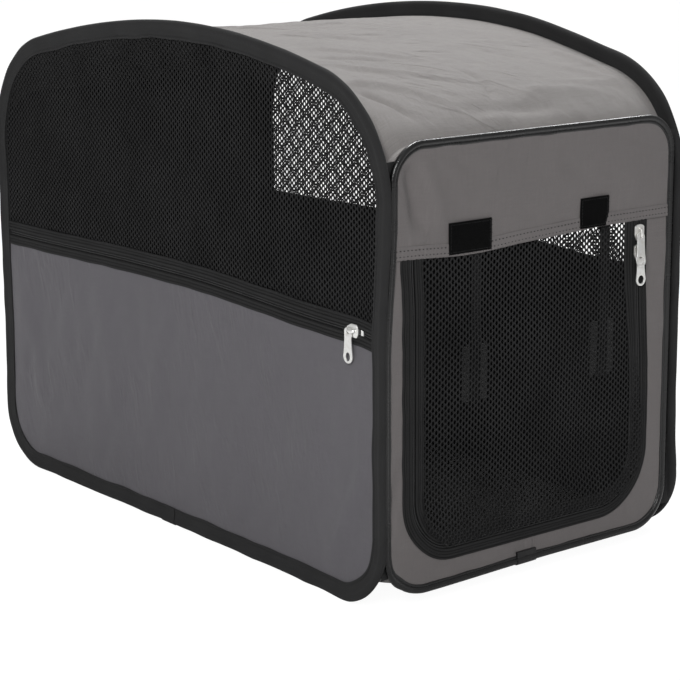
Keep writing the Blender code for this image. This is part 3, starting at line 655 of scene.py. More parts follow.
class ShaderTree(Tree):
    """The nodes of one material."""

    def __init__(self, name: str) -> None:
        """Starts a material with a Principled shader and its output."""
        self.material = bpy.data.materials.new(name)
        self.material.use_nodes = True
        super().__init__(self.material.node_tree)
        self.shader = self.nodes["Principled BSDF"]
        coords = self.add("ShaderNodeTexCoord").outputs
        self.uv, self.place, self.normal = coords["UV"], coords["Object"], coords["Normal"]

    def noise(self, scale: float, detail: float = 3.0, roughness: float = 0.55, vector=None) -> Socket:
        """A noise value from 0 to 1."""
        source = self.place if vector is None else vector
        inputs = {"Vector": source, "Scale": scale, "Detail": detail, "Roughness": roughness}
        return self.add("ShaderNodeTexNoise", inputs).outputs["Fac"]

    def stretched(self, vector: Socket, *scale: float) -> Socket:
        """The vector with each axis scaled."""
        return self.add("ShaderNodeMapping", {"Vector": vector, "Scale": scale}).outputs[0]

    def remap(self, value, low: float, high: float, new_low: float = 0.0, new_high: float = 1.0) -> Socket:
        """The value carried from one range to another."""
        inputs = {"Value": value, "From Min": low, "From Max": high, "To Min": new_low, "To Max": new_high}
        return self.add("ShaderNodeMapRange", inputs).outputs[0]

    def total(self, *terms: tuple) -> Socket:
        """The sum of values, each times its weight."""
        found = None
        for value, weight in terms:
            part = self.math("MULTIPLY", value, weight)
            found = part if found is None else self.math("ADD", found, part)
        return found

    def mix(self, share, first, second) -> Socket:
        """A mix of two colours."""
        inputs = {0: share}
        for key, value in ((6, first), (7, second)):
            inputs[key] = (*value, 1.0) if isinstance(value, tuple) else value
        return self.add("ShaderNodeMix", inputs, data_type="RGBA").outputs[2]

    def weave(self, pitch: float, twill: bool = False) -> Socket:
        """Height of a plain or twill weave over the texture coordinates, from 0 to 1."""
        parts = self.add("ShaderNodeSeparateXYZ", {"Vector": self.uv}).outputs
        warp, weft = (self.math("DIVIDE", parts[i], pitch) for i in (0, 1))
        turns = (self.math("MULTIPLY", way, math.pi) for way in (warp, weft))
        arches = [self.math("ABSOLUTE", self.math("SINE", turn)) for turn in turns]
        cell = self.math("ADD", self.math("FLOOR", warp), self.math("FLOOR", weft))
        over = self.math("GREATER_THAN", self.math("FLOORED_MODULO", cell, 3.0 if twill else 2.0), 0.5)
        return self.total((arches[0], over), (arches[1], self.math("SUBTRACT", 1.0, over)))

    def bump(self, height, distance: float, strength: float = 1.0, normal=None) -> Socket:
        """A bump normal, over another one if given."""
        inputs = {"Height": height, "Distance": distance, "Strength": strength}
        if normal is not None:
            inputs["Normal"] = normal
        return self.add("ShaderNodeBump", inputs).outputs[0]

    def finish(self, **inputs) -> Material:
        """Feeds the Principled shader's inputs, named with underscores, and returns the material."""
        for key, value in inputs.items():
            self.feed(self.shader.inputs[key.replace("_", " ")], value)
        return self.material


# Materials

@dataclass(frozen=True)
class Finish:
    """A material with its main colour."""

    name: str
    colour: tuple[float, float, float]

    def shade(self, factor: float, lift: float = 0.0) -> tuple[float, ...]:
        """The colour made darker or brighter."""
        return tuple(min(1.0, c * factor + lift) for c in self.colour)


@dataclass(frozen=True)
class Cloth(Finish):
    """Plain woven polyester: fine weave, slubs, sharp little creases, and painted shade on the faces that
    turn into the crate.
    """

    pitch: float = 0.00046
    depth: float = 0.00009
    sheen: float = 0.12
    roughness: float = 0.78
    contrast: float = 0.16
    crease: float = 0.0005
    crease_turn: float = 0.2
    crease_share: float = 0.5

    def creases(self, tree: ShaderTree) -> Socket:
        """Height of long sharp creases that lie in patches, from 0 to 1."""
        inputs = {"Vector": tree.uv, "Angle": self.crease_turn}
        turned = tree.add("ShaderNodeVectorRotate", inputs, rotation_type="Z_AXIS").outputs[0]
        crests = []
        for across, along, offset, size in ((24.0, 6.5, 0.0, 1.0), (70.0, 16.0, 5.0, 0.22)):
            moved = tree.vector("ADD", turned, (offset, offset, 0.0))
            wave = tree.noise(1.0, 3.0, 0.5, tree.stretched(moved, across, along, 1.0))
            away = tree.math("ABSOLUTE", tree.math("SUBTRACT", wave, 0.5))
            crests.append((tree.remap(away, 0.0, 0.055, 1.0, 0.0), size))
        less = 0.3 * self.crease_share
        patch = tree.remap(tree.noise(11.0, 2.0), 0.62 - less, 0.78 - less)
        return tree.math("MULTIPLY", tree.total(*crests), patch)

    def build(self) -> Material:
        """The material."""
        tree = ShaderTree(self.name)
        weave = tree.weave(self.pitch)
        warp_slub = tree.noise(1.0, 2.0, 0.6, tree.stretched(tree.uv, 1 / self.pitch, 45.0, 1.0))
        weft_slub = tree.noise(1.0, 2.0, 0.6, tree.stretched(tree.uv, 45.0, 1 / self.pitch, 1.0))
        slub = tree.math("ADD", warp_slub, weft_slub)
        cloud = tree.noise(14.0, 4.0, 0.6)
        speck = tree.noise(900.0, 2.0, 0.7)
        shade = tree.total((weave, 0.30), (slub, 0.55), (cloud, 0.35), (speck, 0.25))
        low, high = self.shade(1 - self.contrast), self.shade(1 + self.contrast)
        woven = tree.mix(tree.remap(shade, 0.75, 1.35), low, high)
        broad = tree.bump(tree.noise(60.0, 3.0), 0.0006, 0.5)
        coarse = tree.bump(self.creases(tree), self.crease, 1.0, broad)
        # Faces that turn in towards the crate's middle get a tenth of the colour: painted shade for the dark
        # inside of the crate.
        from_middle = tree.vector("SUBTRACT", tree.place, (0.0, 0.0, 0.2))
        outside = tree.math("GREATER_THAN", tree.vector("DOT_PRODUCT", tree.normal, from_middle), 0.0)
        return tree.finish(
            Base_Color=tree.mix(outside, self.shade(0.10), woven),
            Roughness=tree.remap(cloud, 0.3, 0.7, self.roughness - 0.05, self.roughness + 0.07),
            Sheen_Weight=self.sheen,
            Sheen_Roughness=0.45,
            Specular_IOR_Level=0.28,
            Normal=tree.bump(tree.total((weave, 1.0), (slub, 0.6)), self.depth, 0.9, coarse),
        )


@dataclass(frozen=True)
class Webbing(Finish):
    """Narrow woven tape with ribs across it, and, if a pitch is given, painted shade in dark lines along its
    grooves.
    """

    pitch: float = 0.0007
    roughness: float = 0.82
    sheen: float = 0.10
    rib: float = 0.00012
    groove_shade_pitch: float = 0.0

    def build(self) -> Material:
        """The material."""
        tree = ShaderTree(self.name)
        weave = tree.weave(self.pitch, twill=True)
        fuzz = tree.noise(1400.0, 2.0, 0.7)
        shade = tree.total((weave, 0.4), (tree.noise(30.0, 4.0, 0.6), 0.6), (fuzz, 0.35))
        low, darkest = 0.35, 0.72
        # Dark lines along the tape at the given pitch: painted shade for its grooves.
        if self.groove_shade_pitch:
            low, darkest = 0.0, 0.25
            across = tree.add("ShaderNodeSeparateXYZ", {"Vector": tree.uv}).outputs[1]
            turn = tree.math("SINE", tree.math("MULTIPLY", across, math.pi / self.groove_shade_pitch))
            dark = tree.remap(tree.math("ABSOLUTE", turn), 0.15, 0.75, 0.9, 0.0)
            shade = tree.math("SUBTRACT", shade, dark)
        return tree.finish(
            Base_Color=tree.mix(tree.remap(shade, low, 1.0), self.shade(darkest), self.shade(1.30)),
            Roughness=tree.remap(fuzz, 0.3, 0.7, self.roughness - 0.06, self.roughness + 0.06),
            Sheen_Weight=self.sheen,
            Specular_IOR_Level=0.14,
            Normal=tree.bump(tree.total((weave, 1.0), (fuzz, 0.5)), self.rib, 0.9),
        )


@dataclass(frozen=True)
class Yarn(Finish):
    """Dull knitted yarn, for nets, threads and pile."""

    roughness: float = 0.7
    sheen: float = 0.1
    fibre: float = 2600.0
    specular: float = 0.35

    def build(self) -> Material:
        """The material."""
        tree = ShaderTree(self.name)
        fibre = tree.noise(self.fibre, 2.0, 0.7)
        share = tree.remap(tree.total((fibre, 0.6), (tree.noise(22.0, 3.0, 0.6), 0.4)), 0.35, 0.65)
        return tree.finish(
            Base_Color=tree.mix(share, self.shade(0.65), self.shade(1.45)),
            Roughness=tree.remap(fibre, 0.3, 0.7, self.roughness - 0.08, self.roughness + 0.08),
            Sheen_Weight=self.sheen,
            Specular_IOR_Level=self.specular,
            Normal=tree.bump(fibre, 0.00006, 0.8),
        )


@dataclass(frozen=True)
class Vinyl(Finish):
    """Soft glossy vinyl over a cord: fine grain, small puckers and scuffs."""

    roughness: float = 0.30

    def build(self) -> Material:
        """The material."""
        tree = ShaderTree(self.name)
        pucker = tree.noise(1.0, 3.0, 0.6, tree.stretched(tree.uv, 420.0, 60.0, 1.0))
        scuff = tree.noise(45.0, 5.0, 0.7)
        broad = tree.bump(pucker, 0.0005, 0.5)
        return tree.finish(
            Base_Color=tree.mix(tree.remap(scuff, 0.5, 0.8), self.colour, self.shade(1.8, 0.004)),
            Roughness=tree.remap(scuff, 0.35, 0.75, self.roughness - 0.05, self.roughness + 0.22),
            Specular_IOR_Level=0.5,
            Coat_Weight=0.15,
            Coat_Roughness=0.25,
            Normal=tree.bump(tree.noise(1500.0, 2.0, 0.6), 0.00004, 0.7, broad),
        )


@dataclass(frozen=True)
class Metal(Finish):
    """Plated or drawn metal with fine scratches and duller patches."""

    roughness: float
    grain: float = 0.00002

    def build(self) -> Material:
        """The material."""
        tree = ShaderTree(self.name)
        scratch = tree.noise(1.0, 3.0, 0.7, tree.stretched(tree.place, 4200.0, 900.0, 900.0))
        patch = tree.noise(240.0, 4.0, 0.6)
        worn = tree.remap(tree.add("ShaderNodeNewGeometry").outputs["Pointiness"], 0.5, 0.56)
        bright = self.shade(1.12)
        rough = tree.remap(patch, 0.3, 0.75, self.roughness - 0.08, self.roughness + 0.16)
        tint = tree.mix(tree.remap(patch, 0.35, 0.7), bright, self.shade(0.86))
        return tree.finish(
            Base_Color=tree.mix(worn, tint, bright),
            Metallic=0.85,
            Roughness=tree.math("SUBTRACT", rough, tree.math("MULTIPLY", worn, 0.08)),
            Normal=tree.bump(scratch, self.grain, 0.6),
        )


@dataclass(frozen=True)
class Nylon(Finish):
    """Extruded nylon of the zipper coils."""

    roughness: float = 0.42

    def build(self) -> Material:
        """The material."""
        tree = ShaderTree(self.name)
        streak = tree.noise(1200.0, 3.0, 0.6)
        cloud = tree.noise(70.0, 3.0, 0.6)
        return tree.finish(
            Base_Color=tree.mix(tree.remap(cloud, 0.35, 0.65), self.colour, self.shade(1.6)),
            Roughness=tree.remap(streak, 0.3, 0.7, self.roughness - 0.06, self.roughness + 0.1),
            Specular_IOR_Level=0.5,
            Normal=tree.bump(streak, 0.00003, 0.6),
        )


class Finishes:
    """Every finish of the crate, built once."""

    def __init__(self) -> None:
        """Builds the materials."""
        # The side, end and roof cloths are one grey cloth: the roof's colour is painted lighter and the
        # sides' darker than the end's, as painted light and shade for the top taking the most light. The
        # floor takes the roof's lighter copy.
        self.side_cloth = Cloth("side_cloth", (0.131, 0.125, 0.138), crease=0.0009, crease_turn=0.3).build()
        self.end_cloth = Cloth("end_cloth", (0.168, 0.155, 0.154), crease=0.0008, crease_share=0.35).build()
        self.roof_cloth = Cloth(
            "roof_cloth",
            (0.300, 0.284, 0.277),
            contrast=0.24,
            depth=0.00016,
            crease=0.0019,
            crease_turn=-0.8,
            crease_share=0.6,
        ).build()
        self.binding = Webbing("binding_tape", (0.024, 0.024, 0.0245), sheen=0.04).build()
        self.tape = Webbing(
            "zipper_tape", (0.023, 0.023, 0.0235), pitch=0.0006, sheen=0.02, groove_shade_pitch=0.0029
        ).build()
        self.strap = Webbing("strap_webbing", (0.010, 0.010, 0.0105), pitch=0.0012, sheen=0.02).build()
        self.net = Yarn("net_yarn", (0.0205, 0.0205, 0.021), 0.7, 0.0, specular=0.10).build()
        self.thread = Yarn("thread", (0.016, 0.016, 0.0165), 0.55, 0.02, specular=0.2).build()
        self.hem_thread = Yarn("hem_thread", (0.030, 0.028, 0.029), 0.55, 0.0, specular=0.15).build()
        self.pile = Yarn("pile", (0.0050, 0.0050, 0.0051), 0.9, 0.0, specular=0.05).build()
        self.pad_pile = Yarn("pad_pile", (0.060, 0.060, 0.060), 0.9, 0.1, specular=0.2).build()
        self.vinyl = Vinyl("piping_vinyl", (0.0035, 0.0035, 0.0038), 0.24).build()
        self.nickel = Metal("nickel", (0.96, 0.935, 0.88), 0.42).build()
        self.steel = Metal("spring_steel", (0.34, 0.34, 0.35), 0.38).build()
        self.coil = Nylon("coil_nylon", (0.010, 0.010, 0.0105)).build()


# Geometry Nodes

class NodeTool(Tree):
    """A Geometry Nodes tree that is run on one object and baked to a plain mesh."""

    def __init__(self, name: str, **inputs: str) -> None:
        """Starts the tree with its inputs, named with underscores, and the kind of each."""
        self.group = bpy.data.node_groups.new(name, "GeometryNodeTree")
        super().__init__(self.group)
        face = self.group.interface
        self.sockets = {}
        face.new_socket(name="Geometry", in_out="INPUT", socket_type="NodeSocketGeometry")
        for key, kind in inputs.items():
            label = key.replace("_", " ")
            item = face.new_socket(name=label, in_out="INPUT", socket_type="NodeSocket" + kind)
            self.sockets[key] = item.identifier
        face.new_socket(name="Geometry", in_out="OUTPUT", socket_type="NodeSocketGeometry")
        self.source = self.nodes.new("NodeGroupInput")
        self.flow = self.source.outputs[0]

    def input(self, label: str) -> Socket:
        """The group input's socket of that name."""
        return self.source.outputs[label]

    def inputs(self, labels: dict[str, str]) -> dict:
        """The group inputs that feed a node's sockets."""
        return {key: self.input(label) for key, label in labels.items()}

    def then(self, kind: str, inputs: Optional[dict] = None, **settings) -> Node:
        """Adds a geometry node that takes in the geometry so far and carries on its own."""
        node = self.add("GeometryNode" + kind, {0: self.flow, **(inputs or {})}, **settings)
        self.flow = node.outputs[0]
        return node

    def stored(self, name: str, kind: str) -> Socket:
        """A named attribute of the geometry."""
        return self.add("GeometryNodeInputNamedAttribute", {"Name": name}, data_type=kind).outputs[0]

    def opposite(self, value: Socket) -> Socket:
        """True where the value is false."""
        return self.add("FunctionNodeBooleanMath", {0: value}, operation="NOT").outputs[0]

    def shake(self, *reach) -> Socket:
        """A random vector within the given reach on each axis, either way."""
        high = self.add("ShaderNodeCombineXYZ", dict(enumerate(reach))).outputs[0]
        less = {i: self.math("MULTIPLY", value, -1.0) for i, value in enumerate(reach)}
        low = self.add("ShaderNodeCombineXYZ", less).outputs[0]
        inputs = {0: low, 1: high, "Seed": self.input("Seed")}
        return self.add("FunctionNodeRandomValue", inputs, data_type="FLOAT_VECTOR").outputs[0]

    def set_items(self, **inputs) -> None:
        """Puts the item at every point."""
        item = self.add("GeometryNodeObjectInfo", {"Object": self.input("Item"), "As Instance": True})
        self.then("InstanceOnPoints", {"Instance": item.outputs["Geometry"], **inputs})

    def finished(self) -> "NodeTool":
        """Ends the tree with Realize Instances and Set Material."""
        self.then("RealizeInstances")
        self.then("SetMaterial", {"Material": self.input("Material")})
        self.add("NodeGroupOutput", {0: self.flow})
        return self

    def run(self, mesh: Mesh, name: str, **values) -> Mesh:
        """Runs the tree on a mesh with the given inputs, named with underscores, and bakes the result."""
        holder = new_object(name, mesh)
        modifier = holder.modifiers.new("nodes", "NODES")
        modifier.node_group = self.group
        for key, value in values.items():
            modifier[self.sockets[key]] = value
        graph = bpy.context.evaluated_depsgraph_get()
        baked = bpy.data.meshes.new_from_object(holder.evaluated_get(graph), depsgraph=graph)
        bpy.data.objects.remove(holder, do_unlink=True)
        for layer in [a.name for a in baked.attributes if a.name in ("out", "on_sheet", "hole_edge")]:
            baked.attributes.remove(baked.attributes[layer])
        return baked


def row_tool() -> NodeTool:
    """Items in a row along a path, each turned to the path and the stored outward direction."""
    kinds = {"Item": "Object", "Pitch": "Float", "Jitter": "Float", "Seed": "Int", "Material": "Material"}
    tool = NodeTool("row_of_items", **kinds)
    tool.then("MeshToCurve")
    tool.then("ResampleCurve", {"Length": tool.input("Pitch")}, mode="LENGTH")
    tangent = tool.add("GeometryNodeInputTangent").outputs[0]
    inputs = {0: tool.stored("out", "FLOAT_VECTOR"), 1: tangent}
    turn = tool.add("FunctionNodeAxesToRotation", inputs, primary_axis="Z", secondary_axis="X")
    jitter = tool.input("Jitter")
    tool.then("SetPosition", {"Offset": tool.shake(jitter, jitter, jitter)})
    inputs = {2: 0.90, 3: 1.10, "Seed": tool.input("Seed")}
    size = tool.add("FunctionNodeRandomValue", inputs, data_type="FLOAT")
    tool.set_items(Rotation=turn.outputs[0], Scale=size.outputs[1])
    return tool.finished()


def pile_tool() -> NodeTool:
    """Tufts scattered over a face, each leaning a little its own way."""
    tool = NodeTool(
        "pile", Item="Object", Spacing="Float", Density="Float", Lean="Float", Seed="Int", Material="Material"
    )
    limits = {"Distance Min": "Spacing", "Density Max": "Density", "Seed": "Seed"}
    spread = tool.then("DistributePointsOnFaces", tool.inputs(limits), distribute_method="POISSON")
    tool.set_items(Rotation=spread.outputs["Rotation"])
    lean = tool.input("Lean")
    tool.then("RotateInstances", {"Rotation": tool.shake(lean, lean, 3.14)})
    return tool.finished()


def net_tool() -> NodeTool:
    """A knitted net of long six-sided holes, laid onto a sheet, with strands of a lens section."""
    tool = NodeTool(
        "knitted_net",
        Carrier="Object",
        Middle="Vector",
        Turn="Vector",
        Ray="Vector",
        Width="Float",
        Height="Float",
        Column_Pitch="Float",
        Row_Pitch="Float",
        Columns="Int",
        Rows="Int",
        Hole_Share="Float",
        Thickness="Float",
        Unevenness="Float",
        Material="Material",
    )
    lattice = {"Size X": "Width", "Size Y": "Height", "Vertices X": "Columns", "Vertices Y": "Rows"}
    grid = tool.add("GeometryNodeMeshGrid", tool.inputs(lattice))
    tool.flow = grid.outputs[0]
    place = tool.add("GeometryNodeInputPosition").outputs[0]
    across = tool.add("ShaderNodeSeparateXYZ", {0: place}).outputs[0]
    from_edge = tool.math("ADD", across, tool.math("MULTIPLY", tool.input("Width"), 0.5))
    column = tool.math("ROUND", tool.math("DIVIDE", from_edge, tool.input("Column Pitch")))
    odd = tool.math("FLOORED_MODULO", column, 2.0)
    shift = tool.math("MULTIPLY", tool.math("MULTIPLY", odd, tool.input("Row Pitch")), 0.5)
    tool.then("SetPosition", {"Offset": tool.add("ShaderNodeCombineXYZ", {1: shift}).outputs[0]})
    tool.then("Triangulate")
    tool.then("DualMesh")
    noise = tool.add("ShaderNodeTexNoise", {"Scale": 28.0, "Detail": 3.0}, noise_dimensions="3D")
    wobble = tool.vector("SUBTRACT", noise.outputs["Color"], (0.5, 0.5, 0.5))
    tool.then("SetPosition", {"Offset": tool.vector("SCALE", wobble, tool.input("Unevenness"))})
    tool.then("Transform", {"Translation": tool.input("Middle"), "Rotation": tool.input("Turn")})
    carrier = tool.add("GeometryNodeObjectInfo", {"Object": tool.input("Carrier")}).outputs["Geometry"]
    rays = {"Target Geometry": carrier, "Ray Direction": tool.input("Ray"), "Ray Length": 1.0}
    cast = tool.add("GeometryNodeRaycast", rays).outputs
    flags = {"data_type": "BOOLEAN", "domain": "POINT"}
    tool.then("StoreNamedAttribute", {"Name": "on_sheet", "Value": cast["Is Hit"]}, **flags)
    tool.then("SetPosition", {"Selection": cast["Is Hit"], "Position": cast["Hit Position"]})
    whole = {0: tool.stored("on_sheet", "BOOLEAN")}
    laid = tool.add("GeometryNodeFieldOnDomain", whole, data_type="BOOLEAN", domain="FACE").outputs[0]
    tool.then("DeleteGeometry", {"Selection": tool.opposite(laid)}, domain="FACE")
    holes = tool.then("ExtrudeMesh", {"Offset Scale": 0.0, "Individual": True}, mode="FACES").outputs[1]
    tool.then("ScaleElements", {"Selection": holes, "Scale": tool.input("Hole Share")}, domain="FACE")
    tool.then("StoreNamedAttribute", {"Name": "hole_edge", "Value": holes}, **flags)
    tool.then("DeleteGeometry", {"Selection": holes}, domain="FACE")
    ridge = tool.opposite(tool.stored("hole_edge", "BOOLEAN"))
    half_thick = tool.math("MULTIPLY", tool.input("Thickness"), 0.5)
    halves = []
    for sign in (-1.0, 1.0):
        lift = tool.vector("SCALE", tool.input("Ray"), tool.math("MULTIPLY", half_thick, sign))
        inputs = {0: tool.flow, "Selection": ridge, "Offset": lift}
        halves.append(tool.add("GeometryNodeSetPosition", inputs).outputs[0])
    tool.flow = halves[1]
    tool.then("FlipFaces")
    both = tool.add("GeometryNodeJoinGeometry")
    for half in (halves[0], tool.flow):
        tool.feed(both.inputs[0], half)
    tool.flow = both.outputs[0]
    tool.then("MergeByDistance", {"Distance": 0.000004})
    tool.then("SetShadeSmooth")
    return tool.finished()


@dataclass(frozen=True)
class NetSizes:
    """The knitted net's lattice and strands in metres, and the share of the cloth that its threads cover."""

    column: float = 0.00323
    row: float = 0.0054
    hole_share: float = 0.58
    thickness: float = 0.0007
    unevenness: float = 0.0008
    cover: float = 0.70


NET = NetSizes()


@dataclass(frozen=True)
class RowKind:
    """What a row repeats, in which finish, and its largest shift on each axis."""

    item: Object
    material: Material
    jitter: float = 0.00005


class Items:
    """Small shapes that rows and piles repeat, and the trees that repeat them."""

    def __init__(self, finishes: Finishes) -> None:
        """Builds the trees and the hidden shapes."""
        self.finishes = finishes
        self.rows = row_tool()
        self.piles = pile_tool()
        self.nets = net_tool()
        stitch = self.hidden("stitch_shape", self.capsule(0.0024, 0.00021))
        short_stitch = self.hidden("short_stitch_shape", self.capsule(0.0016, 0.00040))
        tooth = self.hidden("tooth_shape", self.bead(0.00165, 0.00042, 0.00075))
        self.seam = RowKind(stitch, finishes.thread)
        self.hem_seam = RowKind(short_stitch, finishes.hem_thread)
        self.coil = RowKind(tooth, finishes.coil, 0.00001)
        self.tuft = self.hidden("tuft_shape", self.hook())

    @staticmethod
    def hidden(name: str, mesh: Mesh) -> Object:
        """An object that is only repeated, never shown."""
        obj = new_object(name, mesh)
        obj.hide_render = True
        return obj

    @staticmethod
    def capsule(length: float, radius: float) -> Mesh:
        """A thread between two needle holes: a slim body that dips at its ends."""
        shares = np.array((0.0, 0.10, 0.32, 0.68, 0.90, 1.0))
        size = np.array((0.45, 0.85, 1.0, 1.0, 0.85, 0.45)) * radius
        rise = np.array((-0.9, 0.15, 0.75, 0.75, 0.15, -0.9)) * radius
        rings = carried(
            round_section(1.0, 6),
            lambda a, b: np.stack(((shares - 0.5) * length, a * size, b * size * 0.8 + rise), axis=1),
        )
        return band_mesh(rings, False, shares * length)

    @staticmethod
    def bead(across: float, along: float, high: float) -> Mesh:
        """One turn of a zipper coil: a rounded bar across the tape's edge."""
        shares = np.array((-0.5, -0.36, 0.0, 0.36, 0.5))
        size = np.sqrt(np.maximum(0.05, 1 - (np.abs(shares) * 1.9) ** 2.6))
        rings = carried(
            round_section(1.0, 6),
            lambda a, b: np.stack((a * along * size, shares * across, b * high * size), axis=1),
        )
        return band_mesh(rings, False, np.arange(5) * across / 4)

    @staticmethod
    def hook() -> Mesh:
        """One loop of pile, as a short bent stalk."""
        path = np.array(((0, 0, -0.0002), (0.00010, 0, 0.0006), (0.00034, 0, 0.0010), (0.00062, 0, 0.0008)))
        size = 0.00015 * (1 - 0.15 * np.arange(4))
        rings = carried(round_section(1.0, 5), lambda a, b: path + size[:, None] * np.array((a * 0.5, b, a)))
        return band_mesh(rings, False, np.arange(4) * 0.0004)

    def row(
        self,
        kind: RowKind,
        name: str,
        points: np.ndarray,
        facing: Sequence[float],
        pitch: float,
        seed: int,
        body: str,
        slot: str,
        closed: bool = False,
    ) -> None:
        """Adds a baked row of items as one piece.

        Args:
            kind: What is repeated.
            name: The piece's name.
            points: The path.
            facing: The outward direction.
            pitch: Distance from one item to the next.
            seed: Seed of the small shifts.
            body: The body it rides on.
            slot: The record's material slot.
            closed: Whether the path is a ring.
        """
        count = len(points)
        edges = [(i, (i + 1) % count) for i in range(count if closed else count - 1)]
        mesh = bpy.data.meshes.new(name + "_path")
        mesh.from_pydata(points.tolist(), edges, [])
        layer = mesh.attributes.new("out", "FLOAT_VECTOR", "POINT")
        layer.data.foreach_set("vector", np.tile(facing, (count, 1)).astype(np.float32).ravel())
        what = {"Item": kind.item, "Jitter": kind.jitter, "Material": kind.material}
        baked = self.rows.run(mesh, name, Pitch=pitch, Seed=seed, **what)
        add_piece(name, baked, kind.material, body, slot=slot)

    def net(
        self,
        grid: np.ndarray,
        middle: tuple[float, float, float],
        turn: tuple[float, float, float],
        ray: tuple[float, float, float],
        reach: tuple[float, float],
    ) -> Mesh:
        """A baked net over a grid of points.

        Args:
            grid: Points of the sheet that the net lies on.
            middle: Middle of the flat lattice, in front of the sheet.
            turn: Rotation of the lattice from the XY plane.
            ray: Direction from the lattice to the sheet.
            reach: Width and height of the lattice.

        Returns:
            The mesh.
        """
        columns = int(reach[0] / NET.column) + 1
        rows = int(reach[1] / NET.row) + 1
        holder = self.hidden("net_carrier", carrier_mesh(grid))
        mesh = self.nets.run(
            bpy.data.meshes.new("net_start"),
            "net",
            Carrier=holder,
            Middle=middle,
            Turn=turn,
            Ray=ray,
            Width=(columns - 1) * NET.column,
            Height=(rows - 1) * NET.row,
            Column_Pitch=NET.column,
            Row_Pitch=NET.row,
            Columns=columns,
            Rows=rows,
            Hole_Share=NET.hole_share,
            Thickness=NET.thickness,
            Unevenness=NET.unevenness,
            Material=self.finishes.net,
        )
        bpy.data.objects.remove(holder, do_unlink=True)
        return mesh

    def clear(self) -> None:
        """Removes the hidden shapes."""
        for obj in (self.seam.item, self.hem_seam.item, self.coil.item, self.tuft):
            bpy.data.objects.remove(obj, do_unlink=True)


# Sides

class SideShape:
    """The face of one arched side, a little sprung out of true where the wire pulls it."""

    def __init__(self, side: int) -> None:
        """Left is -1 and right is 1."""
        self.side = side
        self.edge = Ripple(0.0006, 0.13, 11 + side)
        self.foot_rise = Ripple(0.0008, 0.16, 31 + side)

    def flare(self, y: np.ndarray, z: np.ndarray) -> np.ndarray:
        """How far the face stands out of its plane."""
        low = 1 - smoothstep(z, 0.07, 0.17)
        front = 0.0068 * bell(y, -0.305, 0.062) * bell(z, 0, 0.075) * low
        back = 0.0030 * bell(y, 0.305, 0.070) * bell(z, 0, 0.080) * low
        high = smoothstep(z, 0.28, 0.36)
        if self.side < 0:
            upright = (1 - smoothstep(z, 0.22, 0.34)) * smoothstep(z, 0.03, 0.12)
            front = front + 0.0060 * bell(y, -0.305, 0.029) * upright
        return front + back + np.abs(self.edge(y)) * (high + 0.6 * low)

    def rise(self, y: np.ndarray, z: np.ndarray) -> np.ndarray:
        """How far the foot's edge lifts off the floor."""
        fade = np.clip(1 - z / 0.09, 0, 1) ** 2
        middle = 0.0012 * bell(y, -0.02, 0.11)
        return (np.abs(self.foot_rise(y)) + middle) * fade - self.droop(y, z)

    def droop(self, y: np.ndarray, z: np.ndarray) -> np.ndarray:
        """How far the top of the hoop has sunk where the crate leans on it."""
        high = smoothstep(z, 0.27, 0.40)
        if self.side < 0:
            return 0.0034 * high * bell(y, 0.14, 0.14)
        return 0.0052 * high * bell(y, -0.22, 0.085)

    def place(self, y: np.ndarray, z: np.ndarray, out: np.ndarray) -> np.ndarray:
        """Points of the face in the crate.

        Args:
            y: Distance along the crate.
            z: Height in the side's own plane.
            out: Distance outwards from the cloth's middle.

        Returns:
            x, y, z for each point, on a last axis.
        """
        y, z, out = np.broadcast_arrays(np.asarray(y, float), np.asarray(z, float), np.asarray(out, float))
        x = self.side * (SIZES.side_x + out + self.flare(y, z))
        return np.stack((x, y, z + self.rise(y, z)), axis=-1)

    def bow(self, y: np.ndarray) -> np.ndarray:
        """How far the zipper's line strays up from straight."""
        swell = smoothstep(y, -0.262, -0.01) - 0.36 * smoothstep(y, 0.04, 0.27)
        if self.side < 0:
            return 0.0090 * swell - 0.0010 * smoothstep(-y, 0.266, 0.290)
        return 0.0068 * swell + 0.0012 * bell(y, -0.12, 0.05)


@dataclass(frozen=True)
class ZipSizes:
    """The zipper's make-up: depths run from its middle line into one half, in metres."""

    tape_start: float = 0.0022
    tape_out: float = 0.0006
    tape_swell: float = 0.0005
    lip_back: float = 0.0022
    coil_depth: float = 0.00105
    coil_radius: float = 0.00062
    coil_pitch: float = 0.00125
    outer_seam: float = 0.0106
    seam_out: float = 0.00118
    seam_pitch: float = 0.0030


ZIP = ZipSizes()


